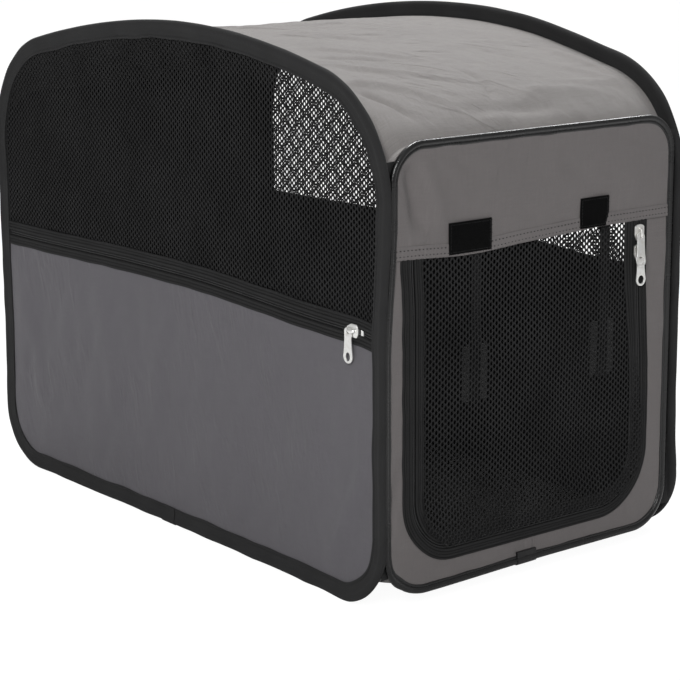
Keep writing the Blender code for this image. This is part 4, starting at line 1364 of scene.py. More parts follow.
@dataclass(frozen=True)
class ZipHalf:
    """One half of a zipper: its tape, its coil and two rows of stitches.

    Its `place` gives points of the crate from a depth, which runs from the zipper's middle into the half,
    and a distance out.
    """

    stem: str
    tape_name: str
    seam_name: str
    body: str
    place: Callable
    along: np.ndarray
    across: np.ndarray
    facing: tuple[float, float, float]
    stray: np.ndarray
    swell: np.ndarray
    lapped: bool
    lip_swell: float
    weave: tuple[float, float]
    seam: float
    seed: int

    def tape_grid(self, shares: np.ndarray) -> np.ndarray:
        """The tape's points, with a lip turned in behind the coil where the shares are below 0."""
        rows = []
        for share in shares:
            inside = max(share, 0)
            bulge = ZIP.tape_swell * abs(math.sin(share * math.pi * 2)) ** 0.7
            swell = self.swell * (share * self.lip_swell if share < 0 else share)
            depth = ZIP.tape_start + (SIZES.zip_half - 0.0020) * share + self.stray * inside
            rows.append(self.place(depth, ZIP.tape_out + (-ZIP.lip_back if share < 0 else bulge) + swell))
        return np.stack(rows, axis=1)

    def build(self, items: Items) -> None:
        """Makes the tape, the coil and the stitches."""
        finishes = items.finishes
        lip = [-0.43, -0.06] if self.lapped else []
        shares = np.concatenate((lip, np.linspace(0, 1, 13)))
        coords = uv_grid(self.along, self.weave[0] + self.weave[1] * shares)
        mesh = sheet_mesh(self.tape_grid(shares), SEWN.tape_cloth, coords)
        add_piece(self.tape_name, mesh, finishes.tape, self.body, [f"{self.stem}_tape"], "tape")
        core = self.place(ZIP.coil_depth, 0.0)
        mesh = band_mesh(tube(core, self.across, self.facing, ZIP.coil_radius), False, self.along)
        add_piece(f"{self.stem}_coil_core", mesh, finishes.coil, self.body, [f"{self.stem}_coil"], "coil")
        turns = f"{self.stem}_coil_turns"
        items.row(items.coil, turns, core, self.facing, ZIP.coil_pitch, self.seed, self.body, "coil")
        for index, away in enumerate((self.seam, ZIP.outer_seam)):
            path = self.place(away, ZIP.seam_out)
            name = f"{self.seam_name}_{index}"
            seed = self.seed + 2 + index
            items.row(items.seam, name, path, self.facing, ZIP.seam_pitch, seed, self.body, "tape")


@dataclass(frozen=True)
class BindingSizes:
    """The binding's section, as distances in from the edge and outwards."""

    width: float = 0.0162
    edge_out: float = 0.0019
    waist_out: float = 0.0018
    bulge_out: float = 0.00295
    stitch_depth: float = 0.0135
    stitch_pitch: float = 0.0032
    overlap: float = 0.024
    overlap_thick: float = 0.0007


class Side:
    """One arched side with its wire, binding, net, cloth and zipper."""

    def __init__(self, side: int, items: Items) -> None:
        """Left is -1 and right is 1."""
        self.side = side
        self.prefix = "left" if side < 0 else "right"
        self.body = f"{self.prefix}_side"
        self.shape = SideShape(side)
        self.finishes = items.finishes
        self.items = items
        self.binding = BindingSizes()
        self.track = side_track()

    def build(self) -> None:
        """Makes every piece of the side."""
        self.make_binding()
        self.make_overlap()
        self.make_wire()
        self.make_panel()
        self.make_net()
        self.make_zipper()

    def half_section(self) -> list[tuple[float, float]]:
        """The binding's outer half, from its inner edge to the crate's edge."""
        size = self.binding
        return [
            (size.width - 0.0004, size.edge_out * 0.55),
            (size.width, size.edge_out * 0.80),
            (size.width - 0.0007, size.edge_out + 0.00015),
            (size.width - 0.0021, size.edge_out - 0.00005),
            (size.stitch_depth, size.waist_out - 0.00035),
            (size.stitch_depth - 0.0013, size.waist_out),
            (0.0102, size.waist_out + 0.00005),
            (0.0083, size.waist_out + 0.0001),
            (0.0066, size.waist_out + 0.0005),
            (0.0050, size.bulge_out - 0.0001),
            (0.0032, size.bulge_out),
            (0.0016, size.bulge_out - 0.0004),
            (0.0005, size.bulge_out - 0.0012),
            (0.0, 0.0008),
        ]

    def section_rings(self, grow: float = 0.0) -> np.ndarray:
        """The binding's section all along the outline, with its unevenness."""
        along = self.track.lengths()
        puff = Ripple(0.00022, 0.045, 51 + self.side)(along)
        width = Ripple(0.00045, 0.070, 61 + self.side)(along)
        sway = Ripple(0.00035, 0.055, 71 + self.side)(along)

        def ring(depth: float, out: float) -> np.ndarray:
            """One point of the section at every station."""
            share = depth / self.binding.width
            deep = depth + grow * (0.4 if share >= 0.5 else -0.4) + width * share
            swell = out + math.copysign(1, out) * (puff * (1 - share) + grow) + sway * share
            return self.shape.place(*self.track.at(deep).T, swell)

        half = self.half_section()
        return carried(half + [(depth, -out) for depth, out in reversed(half)], ring)

    def make_binding(self) -> None:
        """The wide binding that folds over the wire and the cloth's edge."""
        mesh = band_mesh(self.section_rings(), True, self.track.lengths())
        name = f"{self.prefix}_binding"
        add_piece(f"{name}_band", mesh, self.finishes.binding, self.body, [name], "binding")
        size = self.binding
        points = self.track.at(size.stitch_depth)
        for face, label in ((1, "out"), (-1, "in")):
            path = self.shape.place(*points.T, face * (size.waist_out - 0.00025))
            facing = (self.side * face, 0.0, 0.0)
            self.items.row(
                self.items.seam,
                f"{name}_stitches_{label}",
                path,
                facing,
                size.stitch_pitch,
                5 + face,
                self.body,
                "binding",
                closed=True,
            )

    def make_overlap(self) -> None:
        """The lapped end of the binding, a little thicker than the rest."""
        along = self.track.lengths()
        start = math.pi / 2 * SIZES.foot_radius + (SIZES.length - 2 * SIZES.foot_radius) / 2
        kept = (along >= start) & (along <= start + self.binding.overlap)
        rings = self.section_rings(self.binding.overlap_thick)[kept]
        mesh = band_mesh(rings, False, along[kept] - along[kept][0])
        add_piece(f"{self.prefix}_binding_overlap", mesh, self.finishes.binding, self.body, slot="binding")

    def make_wire(self) -> None:
        """The hoop's wire and its ferrule inside the binding, sprung to the same shape."""
        middle = self.shape.place(*self.track.at(SEWN.side_wire_depth).T, 0.0)
        y, z = self.track.points.T
        low = (np.abs(y + 0.020) < 0.0125) & (z < 0.01)
        whole = np.ones(len(y), dtype=bool)
        for label, radius, kept in (("hoop_wire", 0.0013, whole), ("wire_ferrule", 0.0019, low)):
            name = f"{self.prefix}_{label}"
            rings = tube(middle, self.track.across(0), (self.side, 0, 0), radius)[kept]
            mesh = band_mesh(rings, kept is whole, self.track.lengths()[kept])
            add_piece(f"{name}_steel", mesh, self.finishes.steel, self.body, [name], "steel")

    def panel_relief(self) -> list[Callable]:
        """The lower panel's wrinkles, in y and z."""
        if self.side > 0:
            return [Wrinkles(0.0008, 0.11, 91), Wrinkles(0.0003, 0.035, 92)]
        return [
            Wrinkles(0.0013, 0.11, 81, lean=0.3, spread=1.2),
            Wrinkles(0.00042, 0.032, 82, lean=0.1, spread=1.0),
            Fold((-0.292, 0.140), (-0.222, 0.020), 0.0100, 0.0040),
            Fold((-0.275, 0.085), (-0.255, 0.030), 0.010, -0.0022),
            Fold((-0.200, 0.200), (-0.235, 0.120), 0.016, -0.0016),
            Fold((0.120, 0.215), (0.095, 0.060), 0.012, 0.0020),
            Fold((0.020, 0.215), (0.035, 0.070), 0.010, 0.0018),
            Fold((0.262, 0.180), (0.225, 0.040), 0.013, 0.0026),
        ]

    def make_panel(self) -> None:
        """The cloth below the zipper."""
        depth = 0.0085
        y = spaced(SIZES.length / 2 - depth, 150, 0.55)
        top = SIZES.side_zip_z - SIZES.zip_half + self.shape.bow(y) + 0.0006
        panel = Panel(y, SIZES.foot_height(y, depth), top, 56)
        mask = smoothstep(panel.room, 0.004, 0.030)
        out = relief(self.panel_relief(), panel.along, panel.height) * mask + 0.0012 * mask
        grid = self.shape.place(panel.along, panel.height, out)
        piece = add_piece(
            f"{self.prefix}_lower_cloth",
            sheet_mesh(grid, SEWN.panel_cloth, panel.coords),
            self.finishes.side_cloth,
            self.body,
            [f"{self.prefix}_lower_panel"],
            "side_cloth",
        )

    def make_net(self) -> None:
        """The net window above the zipper."""
        depth = 0.0070
        y = spaced(SIZES.length / 2 - depth, 130, 0.55)
        low = SIZES.side_zip_z + SIZES.zip_half + self.shape.bow(y) - 0.0035
        panel = Panel(y, low, SIZES.arch_height(y, depth), 50)
        slack = [Wrinkles(0.0010, 0.16, 101 + self.side), Wrinkles(0.0003, 0.05, 111 + self.side)]
        out = relief(slack, panel.along, panel.height) * smoothstep(panel.room, 0.006, 0.030)
        mesh = self.items.net(
            self.shape.place(panel.along, panel.height, out),
            (self.side * 0.26, 0.0, 0.340),
            (math.pi / 2, 0.0, math.pi / 2),
            (-self.side, 0.0, 0.0),
            (0.62, 0.26),
        )
        name = f"{self.prefix}_net"
        piece = add_piece(name, mesh, self.finishes.net, self.body, [f"{self.prefix}_window_net"], "net")

    def make_zipper(self) -> None:
        """Both halves of the side zipper."""
        reach = SIZES.length / 2 - 0.0085
        y = np.linspace(-reach, reach, 200)
        line = SIZES.side_zip_z + self.shape.bow(y)
        for label, sign in (("lower", -1), ("upper", 1)):
            stem = f"{self.prefix}_{label}"
            ZipHalf(
                stem=stem,
                tape_name=f"{stem}_zip_tape",
                seam_name=f"{stem}_tape_stitches",
                body=self.body,
                place=lambda depth, out, sign=sign: self.shape.place(y, line + sign * depth, out),
                along=y,
                across=np.array((0.0, 0.0, 1.0)),
                facing=(float(self.side), 0.0, 0.0),
                stray=sign * Ripple(0.00022, 0.05, 121 + sign)(y),
                swell=Ripple(0.00022, 0.06, 131 + sign)(y),
                lapped=sign > 0,
                lip_swell=1.0,
                weave=(ZIP.tape_start, SIZES.zip_half - 0.0020),
                seam=0.0066,
                seed=7,
            ).build(self.items)


# Zipper sliders

@dataclass(frozen=True)
class SliderSizes:
    """Sizes of a slider and its pull, in metres."""

    length: float = 0.014
    width: float = 0.011
    tail_width: float = 0.0072
    plate_in: float = 0.0014
    plate_out: float = 0.0032
    crown_width: float = 0.0030
    crown_top: float = 0.0066
    axis_out: float = 0.00435
    post_spacing: float = 0.0076
    plate_bevel: float = 0.00045
    pull_thick: float = 0.0012
    pull_bevel: float = 0.00028


class PullStyle(Enum):
    """The pulls' outlines."""

    OVAL_END = "oval_end"
    RING_END = "ring_end"


class Slider:
    """A zipper slider with its crown and pull, where the frame has them."""

    def __init__(self, name: str, pull: str, style: PullStyle, finishes: Finishes) -> None:
        """Names of the slider's and the pull's CAD nodes and bodies."""
        self.name = name
        self.pull = pull
        self.style = style
        self.finishes = finishes
        self.sizes = SliderSizes()

    def plate_outline(self) -> np.ndarray:
        """The plan of the slider's plates: wide at its nose and drawn in at its tail."""
        size = self.sizes
        wide, tail, half = size.width / 2, size.tail_width / 2, size.length / 2
        found = []
        for i in range(13):
            angle = math.pi * i / 12
            found.append((half - 0.0028 + 0.0028 * math.sin(angle), wide * math.cos(angle)))
        for a, b in ((-half + 0.0052, -wide), (-half + 0.0016, -tail), (-half + 0.0004, -tail + 0.0006)):
            found.append((a, b))
        for i in range(1, 6):
            angle = math.pi * i / 6
            along = -half - 0.0004 + 0.0008 * (1 - math.sin(angle))
            found.append((along, -math.cos(angle) * (tail - 0.0008)))
        for a, b in ((-half + 0.0004, tail - 0.0006), (-half + 0.0016, tail), (-half + 0.0052, wide)):
            found.append((a, b))
        return np.array(found)

    def crown(self) -> Mesh:
        """The domed strap over the top plate that holds the pull."""
        size = self.sizes
        rings = []
        under = ((-1, -0.5), (-0.8, -1), (0.8, -1), (1, -0.5))
        section = (*under, (1, 0.5), (0.75, 1), (0, 1.25), (-0.75, 1), (-1, 0.5))
        thick = 0.00058
        reach = size.post_spacing / 2 + 0.0006
        rise = size.crown_top - size.plate_out + 0.0006
        for i in range(21):
            angle = math.pi * i / 20
            high = size.plate_out - 0.0006 + math.sin(angle) ** 0.62 * rise
            middle = np.array((-math.cos(angle) * reach, high))
            normal = np.array((-math.cos(angle), max(0.15, math.sin(angle))))
            normal /= np.linalg.norm(normal)
            wide = size.crown_width / 2 * (0.78 + 0.28 * math.sin(angle))
            ring = []
            for a, b in section:
                point = middle + normal * (b * thick - thick)
                ring.append((point[0], a * wide, point[1]))
            rings.append(ring)
        return band_mesh(np.array(rings), False, np.arange(21) * 0.0006)

    def body_mesh(self) -> Mesh:
        """The slider, with travel along X, its width along Y and outwards along Z."""
        size = self.sizes
        outline = self.plate_outline()
        thick = size.plate_out - size.plate_in
        parts = []
        for sign in (1, -1):
            plate = flat_plate([outline], thick, size.plate_bevel)
            plate.transform(Matrix.Translation((0, 0, sign * (size.plate_in + thick / 2))))
            parts.append(plate)
        for sign in (1, -1):
            lip = np.array((
                (-size.length / 2 + 0.003, sign * size.width * 0.36),
                (size.length / 2 - 0.0020, sign * size.width * 0.47),
                (size.length / 2 - 0.0020, sign * size.width * 0.40),
                (-size.length / 2 + 0.003, sign * size.width * 0.29),
            ))
            if sign < 0:
                lip = lip[::-1]
            for face in (1, -1):
                flange = flat_plate([lip], 0.0009, 0.0002)
                flange.transform(Matrix.Translation((0, 0, face * (size.plate_in - 0.0002))))
                parts.append(flange)
        wedge = np.array(((0.001, -0.0010), (0.006, -0.0016), (0.006, 0.0016), (0.001, 0.0010)))
        parts.append(flat_plate([wedge], 0.0040, 0.0002))
        parts.append(self.crown())
        return join_meshes(parts)

    def pull_loops(self) -> list[np.ndarray]:
        """The pull's outline and holes, hanging down from the middle of its eye bar."""
        bar, length, top, end, waist = 0.0006, 0.030, 0.0043, 0.0057, 0.95
        foot = length - bar
        flanks = []
        for i in range(1, 6):
            share = i / 6
            wide = (top + (end - top) * share**1.4) * (1 - (1 - waist) * math.sin(share * math.pi))
            flanks.append((wide, 0.0055 + (foot - end - 0.0055) * share))
        edge = []
        for i in range(9):
            angle = math.pi + math.pi * i / 8
            edge.append((top * math.cos(angle), bar + 0.0022 + 0.0030 * math.sin(angle)))
        edge += flanks
        for i in range(17):
            angle = math.pi * i / 16
            edge.append((end * math.cos(angle), foot - end + end * math.sin(angle)))
        edge += [(-wide, down) for wide, down in reversed(flanks)]
        loops = [edge]
        wide, high = (0.0034, 0.0036) if self.style is PullStyle.RING_END else (0.0027, 0.0036)
        for centre, across, down, square in (
            (bar + 0.0024, 0.0017, 0.0022, 0.6),
            (foot - 0.0019 - high, wide, high, 1.0),
        ):
            hole = []
            for i in range(20):
                c, s = math.cos(2 * math.pi * i / 20), math.sin(2 * math.pi * i / 20)
                bend = math.copysign(abs(c) ** square, c)
                lift = math.copysign(abs(s) ** square, s)
                hole.append((across * bend, centre + down * lift))
            loops.append(hole)
        return [np.array([(a, -b) for a, b in loop]) for loop in loops]

    def build(self, slider: Matrix, pull: Matrix) -> None:
        """Places the slider and the pull.

        Args:
            slider: Where the slider's own axes lie in the crate.
            pull: Where the pull's lie, with the tab across X, down -Y and thick along Z.
        """
        body = self.body_mesh()
        body.transform(slider)
        add_piece(f"{self.name}_metal", body, self.finishes.nickel, self.name, [self.name], "nickel")
        tab = flat_plate(self.pull_loops(), self.sizes.pull_thick, self.sizes.pull_bevel)
        tab.transform(pull)
        add_piece(f"{self.pull}_metal", tab, self.finishes.nickel, self.pull, [self.pull], "nickel")


def axes(origin: Sequence[float], x: Sequence[float], y: Sequence[float], z: Sequence[float]) -> Matrix:
    """A matrix from an origin and three directions."""
    columns = [Vector(x), Vector(y), Vector(z)]
    matrix = Matrix([[columns[j][i] for j in range(3)] for i in range(3)]).to_4x4()
    matrix.translation = Vector(origin)
    return matrix


def build_sliders(finishes: Finishes) -> None:
    """Every slider and pull of the crate."""
    size = SliderSizes()
    for side, prefix in ((-1, "left"), (1, "right")):
        slider = Slider(f"{prefix}_slider", f"{prefix}_pull", PullStyle.OVAL_END, finishes)
        x = side * SIZES.side_x
        body = axes((x, -0.2605, SIZES.side_zip_z), (0, -1, 0), (0, 0, -side), (side, 0, 0))
        axis = (x + side * size.axis_out, -0.2567, SIZES.side_zip_z + 0.0022)
        pull = axes(axis, (0, side, 0), (0, 0, 1), (side, 0, 0))
        slider.build(body, pull)
    zip_x = SIZES.door_shift + SIZES.door_zip_half - 0.0048
    for name, z, tilt, turn in (("upper", 0.2815, 10.5, -9.0), ("lower", 0.2645, 0.0, 3.0)):
        slider = Slider(f"{name}_door_slider", f"{name}_door_pull", PullStyle.RING_END, finishes)
        body = axes((zip_x, -SIZES.end_y, z), (0, 0, 1), (1, 0, 0), (0, -1, 0))
        axis = (zip_x, -SIZES.end_y - size.axis_out, z)
        lean = Matrix.Rotation(math.radians(-tilt), 4, "X") @ Matrix.Rotation(math.radians(turn), 4, "Z")
        pull = axes(axis, (1, 0, 0), (0, 0, 1), (0, -1, 0)) @ lean
        slider.build(body, pull)


# Ends

class End:
    """One end hoop with its piping, patch and wire."""

    def __init__(self, end: int, items: Items) -> None:
        """Front is -1 and back is 1."""
        self.end = end
        self.prefix = "front" if end < 0 else "back"
        self.body = f"{self.prefix}_end"
        self.finishes = items.finishes
        self.items = items
        self.track = end_track()

    def spread(self, x: np.ndarray, z: np.ndarray) -> tuple[np.ndarray, np.ndarray]:
        """Where the hoop's outline has gone from its drawn line: nowhere, on a plain end."""
        return x, z

    def place_flat(self, x: np.ndarray, z: np.ndarray, out: np.ndarray) -> np.ndarray:
        """Points of the end's face in the crate, with out away from the crate's middle."""
        x, z, out = np.broadcast_arrays(x, z, out)
        return np.stack((x, self.end * (SIZES.end_y + out), z), axis=-1)

    def place(self, x: np.ndarray, z: np.ndarray, out: np.ndarray) -> np.ndarray:
        """Points that follow the hoop's spread outline."""
        x, z = self.spread(*np.broadcast_arrays(x, z))
        return self.place_flat(x, z, out)

    def build(self) -> None:
        """Makes the hoop's pieces."""
        self.make_piping()
        self.make_patch()
        self.make_corner_strips()
        self.make_wire()

    def make_wire(self) -> None:
        """The hoop's wire and its ferrule inside the piping."""
        lengths = self.track.lengths()
        low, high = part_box(f"{self.prefix}_wire_ferrule")
        x, z = self.track.points.T
        near = (x > low[0] - 0.0001) & (x < high[0] + 0.0001) & (z < 0.03)
        whole = np.ones(len(x), dtype=bool)
        for label, radius, kept in (("hoop_wire", 0.0010, whole), ("wire_ferrule", 0.0015, near)):
            rings = carried(
                round_section(radius, 8),
                lambda a, b: self.place(*self.track.at(SIZES.piping_radius + a).T, -self.end * b)[kept],
            )
            name = f"{self.prefix}_{label}"
            mesh = band_mesh(rings, kept is whole, lengths[kept])
            add_piece(f"{name}_steel", mesh, self.finishes.steel, self.body, [name], "steel")

    @staticmethod
    def bead(radius: float, opening: float) -> list[tuple[float, float]]:
        """The round part of the piping's section, open towards the cloth by twice an angle in degrees."""
        angles = [math.radians(opening + (360 - 2 * opening) * i / 12) for i in range(13)]
        return [(SIZES.piping_radius + radius * math.cos(a), radius * math.sin(a)) for a in angles]

    def make_piping(self) -> None:
        """The vinyl piping: a round bead at the edge and a flat lip with its own ridge inside it."""
        along = self.track.lengths()
        wave = Ripple(0.00018, 0.03, 141 + self.end)(along)
        sway = Ripple(0.00025, 0.05, 151 + self.end)(along)

        def ring(depth: float, out: float) -> np.ndarray:
            """One point of the section at every station."""
            share = smoothstep(np.array(depth), 0.004, 0.008)
            return self.place(*self.track.at(depth + wave * share).T, out + sway * share)

        lip = [(0.0051, -0.00100), (0.0060, -0.00150), (0.0070, -0.00125), (0.0074, -0.0005)]
        lip += [(depth, -out) for depth, out in reversed(lip)]
        mesh = band_mesh(carried(self.bead(0.00262, 38) + lip, ring), True, along)
        name = f"{self.prefix}_piping"
        add_piece(f"{name}_vinyl", mesh, self.finishes.vinyl, self.body, [name], "piping")

    def make_patch(self) -> None:
        """The patch that is folded over the piping's joint."""
        x = np.linspace(-0.0208, 0.0008, 14)
        grow = 1 - 0.06 * np.cos(np.linspace(0, 2 * math.pi, 14))
        lip = [(0.0066, -0.0024), (0.0104, -0.0021), (0.0108, 0.0), (0.0104, 0.0021), (0.0066, 0.0024)]
        section = self.bead(0.0034, 35) + lip
        rings = carried(section, lambda depth, out: self.place(x, SIZES.end_base + depth, out * grow))
        mesh = band_mesh(rings, False, x + 0.03)
        nodes = [f"{self.prefix}_piping_patch"]
        add_piece(f"{self.prefix}_patch_vinyl", mesh, self.finishes.vinyl, self.body, nodes, "piping")

    def make_corner_strips(self) -> None:
        """The strips behind the piping that close the upright seams to the sides."""
        z = np.linspace(0.030, 0.366, 60)
        share = np.linspace(0, 1, 6)
        for side, prefix in ((-1, "left"), (1, "right")):
            spread = SideShape(side).flare(np.full_like(z, self.end * SIZES.end_y), z)
            across = SEWN.strip_start + (SEWN.strip_width + spread[:, None]) * share[None, :]
            grid = self.place_flat(side * across, z[:, None], -0.0034 + 0.0022 * share[None, :] ** 2)
            coords = np.stack((across, np.repeat(z[:, None], len(share), axis=1)), axis=2)
            mesh = sheet_mesh(grid, SEWN.strip_cloth, coords)
            name = f"{self.prefix}_{prefix}_corner_strip"
            piece = add_piece(name, mesh, self.finishes.binding, self.body, slot="piping")


class BackEnd(End):
    """The back end, closed by one plain panel."""

    def build(self) -> None:
        """Makes the hoop's pieces and the panel."""
        super().build()
        depth = SEWN.end_panel_depth
        x = spaced(SIZES.end_x - depth, 96, 0.6)
        panel = Panel(x, SIZES.end_line(x, depth, False), SIZES.end_line(x, depth, True), 100)
        slack = relief([Wrinkles(0.0016, 0.15, 161), Wrinkles(0.0004, 0.045, 162)], panel.along, panel.height)
        grid = self.place(panel.along, panel.height, slack * smoothstep(panel.room, 0.004, 0.045))
        mesh = sheet_mesh(grid, SEWN.panel_cloth, panel.coords)
        piece = add_piece("back_cloth", mesh, self.finishes.end_cloth, self.body, ["back_panel"], "end_cloth")


class FrontEnd(End):
    """The front end with its door opening, hem, squares and straps."""

    def build(self) -> None:
        """Makes the hoop's pieces and everything on the cloth."""
        super().build()
        self.make_top_panel()
        self.make_border()
        self.make_hem()
        self.make_zip_half("front_zip", -1, SIZES.hem_z + 0.0040, self.body)
        self.make_squares()
        self.make_straps()

    def spread(self, x: np.ndarray, z: np.ndarray) -> tuple[np.ndarray, np.ndarray]:
        """The hoop's outline with its low left corner spread out and down."""
        beside = smoothstep(-x, 0.095, 0.150) * (1 - smoothstep(z, 0.20, 0.33))
        below = smoothstep(-x, -0.02, 0.13) * (1 - smoothstep(z, 0.015, 0.060))
        return x - 0.0068 * beside, z - 0.0022 * below

    def place_flat(self, x: np.ndarray, z: np.ndarray, out: np.ndarray) -> np.ndarray:
        """Points of the end's face, with the door's right leg leaning in at its top."""
        x, z, out = np.broadcast_arrays(x, z, out)
        near = smoothstep(x, 0.045, 0.105) * (1 - smoothstep(x, 0.136, 0.151))
        lean = (0.0010 - 0.0065 * smoothstep(z, 0.13, 0.27)) * smoothstep(z, 0.05, 0.10)
        left = 0.0020 * smoothstep(-x, 0.10, 0.13) * (1 - smoothstep(-x, 0.1475, 0.1545))
        left = left * (1 - smoothstep(z, 0.24, 0.29))
        return super().place_flat(x + left + lean * near * (1 - smoothstep(z, 0.292, 0.305)), z, out)

    def top_relief(self) -> list[Callable]:
        """The wrinkles of the cloth above the door, in x and z."""
        return [
            Wrinkles(0.0007, 0.09, 171),
            Wrinkles(0.00025, 0.03, 172),
            Fold((-0.150, 0.372), (-0.122, 0.286), 0.0105, -0.0085, 0.006),
            Fold((-0.128, 0.372), (-0.100, 0.300), 0.011, 0.0030),
            Fold((-0.110, 0.365), (-0.070, 0.330), 0.010, 0.0014),
            Fold((0.100, 0.365), (0.125, 0.320), 0.010, 0.0012),
            Fold((0.020, 0.350), (0.070, 0.340), 0.010, -0.0009),
        ]

    def make_top_panel(self) -> None:
        """The cloth above the door."""
        depth = SEWN.end_panel_depth
        x = spaced(SIZES.end_x - depth, 130, 0.6)
        low = SIZES.hem_z + 0.0008 + self.hem_sag(x)
        panel = Panel(x, low, SIZES.end_line(x, depth, True), 44)
        mask = smoothstep(np.minimum(panel.above, panel.beside), 0.003, 0.022)
        mask = mask * smoothstep(panel.height, SIZES.hem_z + 0.012, SIZES.hem_z + 0.034)
        out = relief(self.top_relief(), panel.along, panel.height) * mask + 0.0003
        mesh = sheet_mesh(self.place(panel.along, panel.height, out), SEWN.panel_cloth, panel.coords)
        name = "front_top_cloth"
        piece = add_piece(name, mesh, self.finishes.end_cloth, self.body, ["front_panel"], "end_cloth")

    def make_border(self) -> None:
        """The cloth down both sides and under the door."""
        counts = (70, 22, 80)
        depth = SEWN.end_panel_depth
        top = SIZES.hem_z + 0.004
        outer = u_track(
            0.0, SIZES.end_x - depth, SIZES.end_base + depth, SIZES.end_foot_radius - depth, top, counts
        )
        past = SIZES.zip_half - 0.0004
        inner = u_track(
            SIZES.door_shift,
            SIZES.door_zip_half + past,
            SIZES.door_zip_low - past,
            SIZES.door_zip_radius + past,
            top,
            counts,
        )
        across = np.linspace(0, 1, 9)
        rim = np.stack(self.spread(*outer.points.T), axis=1)
        share = across[None, :, None]
        line = rim[:, None, :] * (1 - share) + inner.points[:, None, :] * share
        along = outer.lengths()
        ripple = Ripple(0.0006, 0.06, 181)(along)[:, None] * np.sin(across * math.pi)[None, :]
        grid = self.place_flat(line[..., 0], line[..., 1], ripple)
        mesh = sheet_mesh(grid, SEWN.panel_cloth, line)
        piece = add_piece("front_border_cloth", mesh, self.finishes.end_cloth, self.body, slot="end_cloth")
        middle = float(along[-1] + inner.lengths()[-1]) / 2

    @staticmethod
    def hem_sag(x: np.ndarray) -> np.ndarray:
        """How far the hem hangs off its level line: low left of the middle and drawn up at the right."""
        return 0.0028 * smoothstep(x, -0.01, 0.09) - 0.0038 * bell(x, -0.075, 0.050)

    def make_hem(self) -> None:
        """The turned hem over the door, with two rows of stitches."""
        x = np.linspace(-SIZES.end_x + 0.0068, SIZES.end_x - 0.0068, 120)
        level = SIZES.hem_z + self.hem_sag(x)
        profile = [(0.0104, 0.00075), (0.0096, 0.0012), (0.0056, 0.00125)]
        profile += [(0.0014, 0.0016), (0.0002, 0.0010), (0.0, 0.0)]
        wave = Ripple(0.00018, 0.04, 191)(x)
        grid = carried(profile, lambda up, out: self.place(x, level + up, out + wave * (up > 0.001)))
        mesh = sheet_mesh(grid, SEWN.tape_cloth, uv_grid(x, np.array(profile)[:, 0]))
        add_piece("front_hem", mesh, self.finishes.end_cloth, self.body, slot="end_cloth")
        for index, up in enumerate((0.0030, 0.0076)):
            path = self.place(x, level + up, 0.00165 + wave)
            name = f"hem_stitches_{index}"
            self.items.row(
                self.items.hem_seam, name, path, (0.0, -1.0, 0.0), 0.0038, 21 + index, self.body, "end_cloth"
            )

    def make_zip_half(self, stem: str, sign: int, top: float, body: str) -> None:
        """One half of the door's zipper.

        Args:
            stem: Start of the names of its pieces and CAD nodes.
            sign: 1 for the door's half, inside the line, and -1 for the frame's.
            top: Height of the legs' ends.
            body: The body that the half rides on.
        """
        size = SIZES
        counts = (80, 26, 90)
        low, radius = size.door_zip_low, size.door_zip_radius
        track = u_track(size.door_shift, size.door_zip_half, low, radius, top, counts)
        along = track.lengths()
        x, z = track.points.T
        wave = Ripple(0.0002, 0.04, 201 + sign)(along)
        wider = 0.0042 * smoothstep(z, 0.17, 0.27) * (x > 0) * (sign > 0)
        ZipHalf(
            stem=stem,
            tape_name=f"{stem}_webbing",
            seam_name=f"{stem}_stitches",
            body=body,
            place=lambda depth, out: self.place_flat(*track.at(sign * depth).T, out),
            along=along,
            across=track.across(1),
            facing=(0.0, -1.0, 0.0),
            stray=sign * (wave * 0.6 + wider),
            swell=wave,
            lapped=sign < 0,
            lip_swell=0.0,
            weave=(0.0, SIZES.zip_half),
            seam=0.0067,
            seed=41,
        ).build(self.items)

    def make_squares(self) -> None:
        """The hook-and-loop squares above the door."""
        for prefix, x, width, low, high in (
            ("left", -0.0765, 0.045, 0.2872, 0.3127),
            ("right", 0.0620, 0.033, 0.2920, 0.3175),
        ):
            SoftSquare(
                name=f"{prefix}_square",
                node=f"{prefix}_hook_square",
                place=self.place,
                low=(x - width / 2, low),
                high=(x + width / 2, high),
                outs=(0.00135, 0.0023),
                finish=self.finishes.pile,
                body=self.body,
                facing=(0.0, -1.0, 0.0),
                under="front_top_cloth",
            ).build(self.items)

    def make_straps(self) -> None:
        """The roll-up straps that hang behind the door, each with its pad."""
        size = StrapSizes()

        def place(x: np.ndarray, z: np.ndarray, out: np.ndarray) -> np.ndarray:
            """Points of the strap's plane, with out into the crate."""
            return np.stack(np.broadcast_arrays(x, size.plane + out, z), axis=-1)

        for prefix, x in (("left", -0.067), ("right", 0.078)):
            down = np.linspace(size.top, size.top - size.length, 60)
            z, across = np.meshgrid(down, np.linspace(-size.half, size.half, 7), indexing="ij")
            grid = place(x + across, z, 0.0006 + 0.0002 * (across / size.half) ** 2)
            mesh = sheet_mesh(grid, SEWN.web_cloth, np.stack((x + across, z), axis=2))
            body = f"{prefix}_strap"
            piece = add_piece(f"{prefix}_strap_web", mesh, self.finishes.strap, body, [body], "tape")
            top = size.top - size.length + size.pad_top
            SoftSquare(
                name=f"{prefix}_pad",
                node=f"{prefix}_strap_pad",
                place=place,
                low=(x - size.pad_half, top - size.pad_height),
                high=(x + size.pad_half, top),
                outs=(0.0015, 0.0024),
                finish=self.finishes.pad_pile,
                body=body,
                facing=(0.0, 1.0, 0.0),
                under=f"{prefix}_strap_web",
            ).build(self.items)


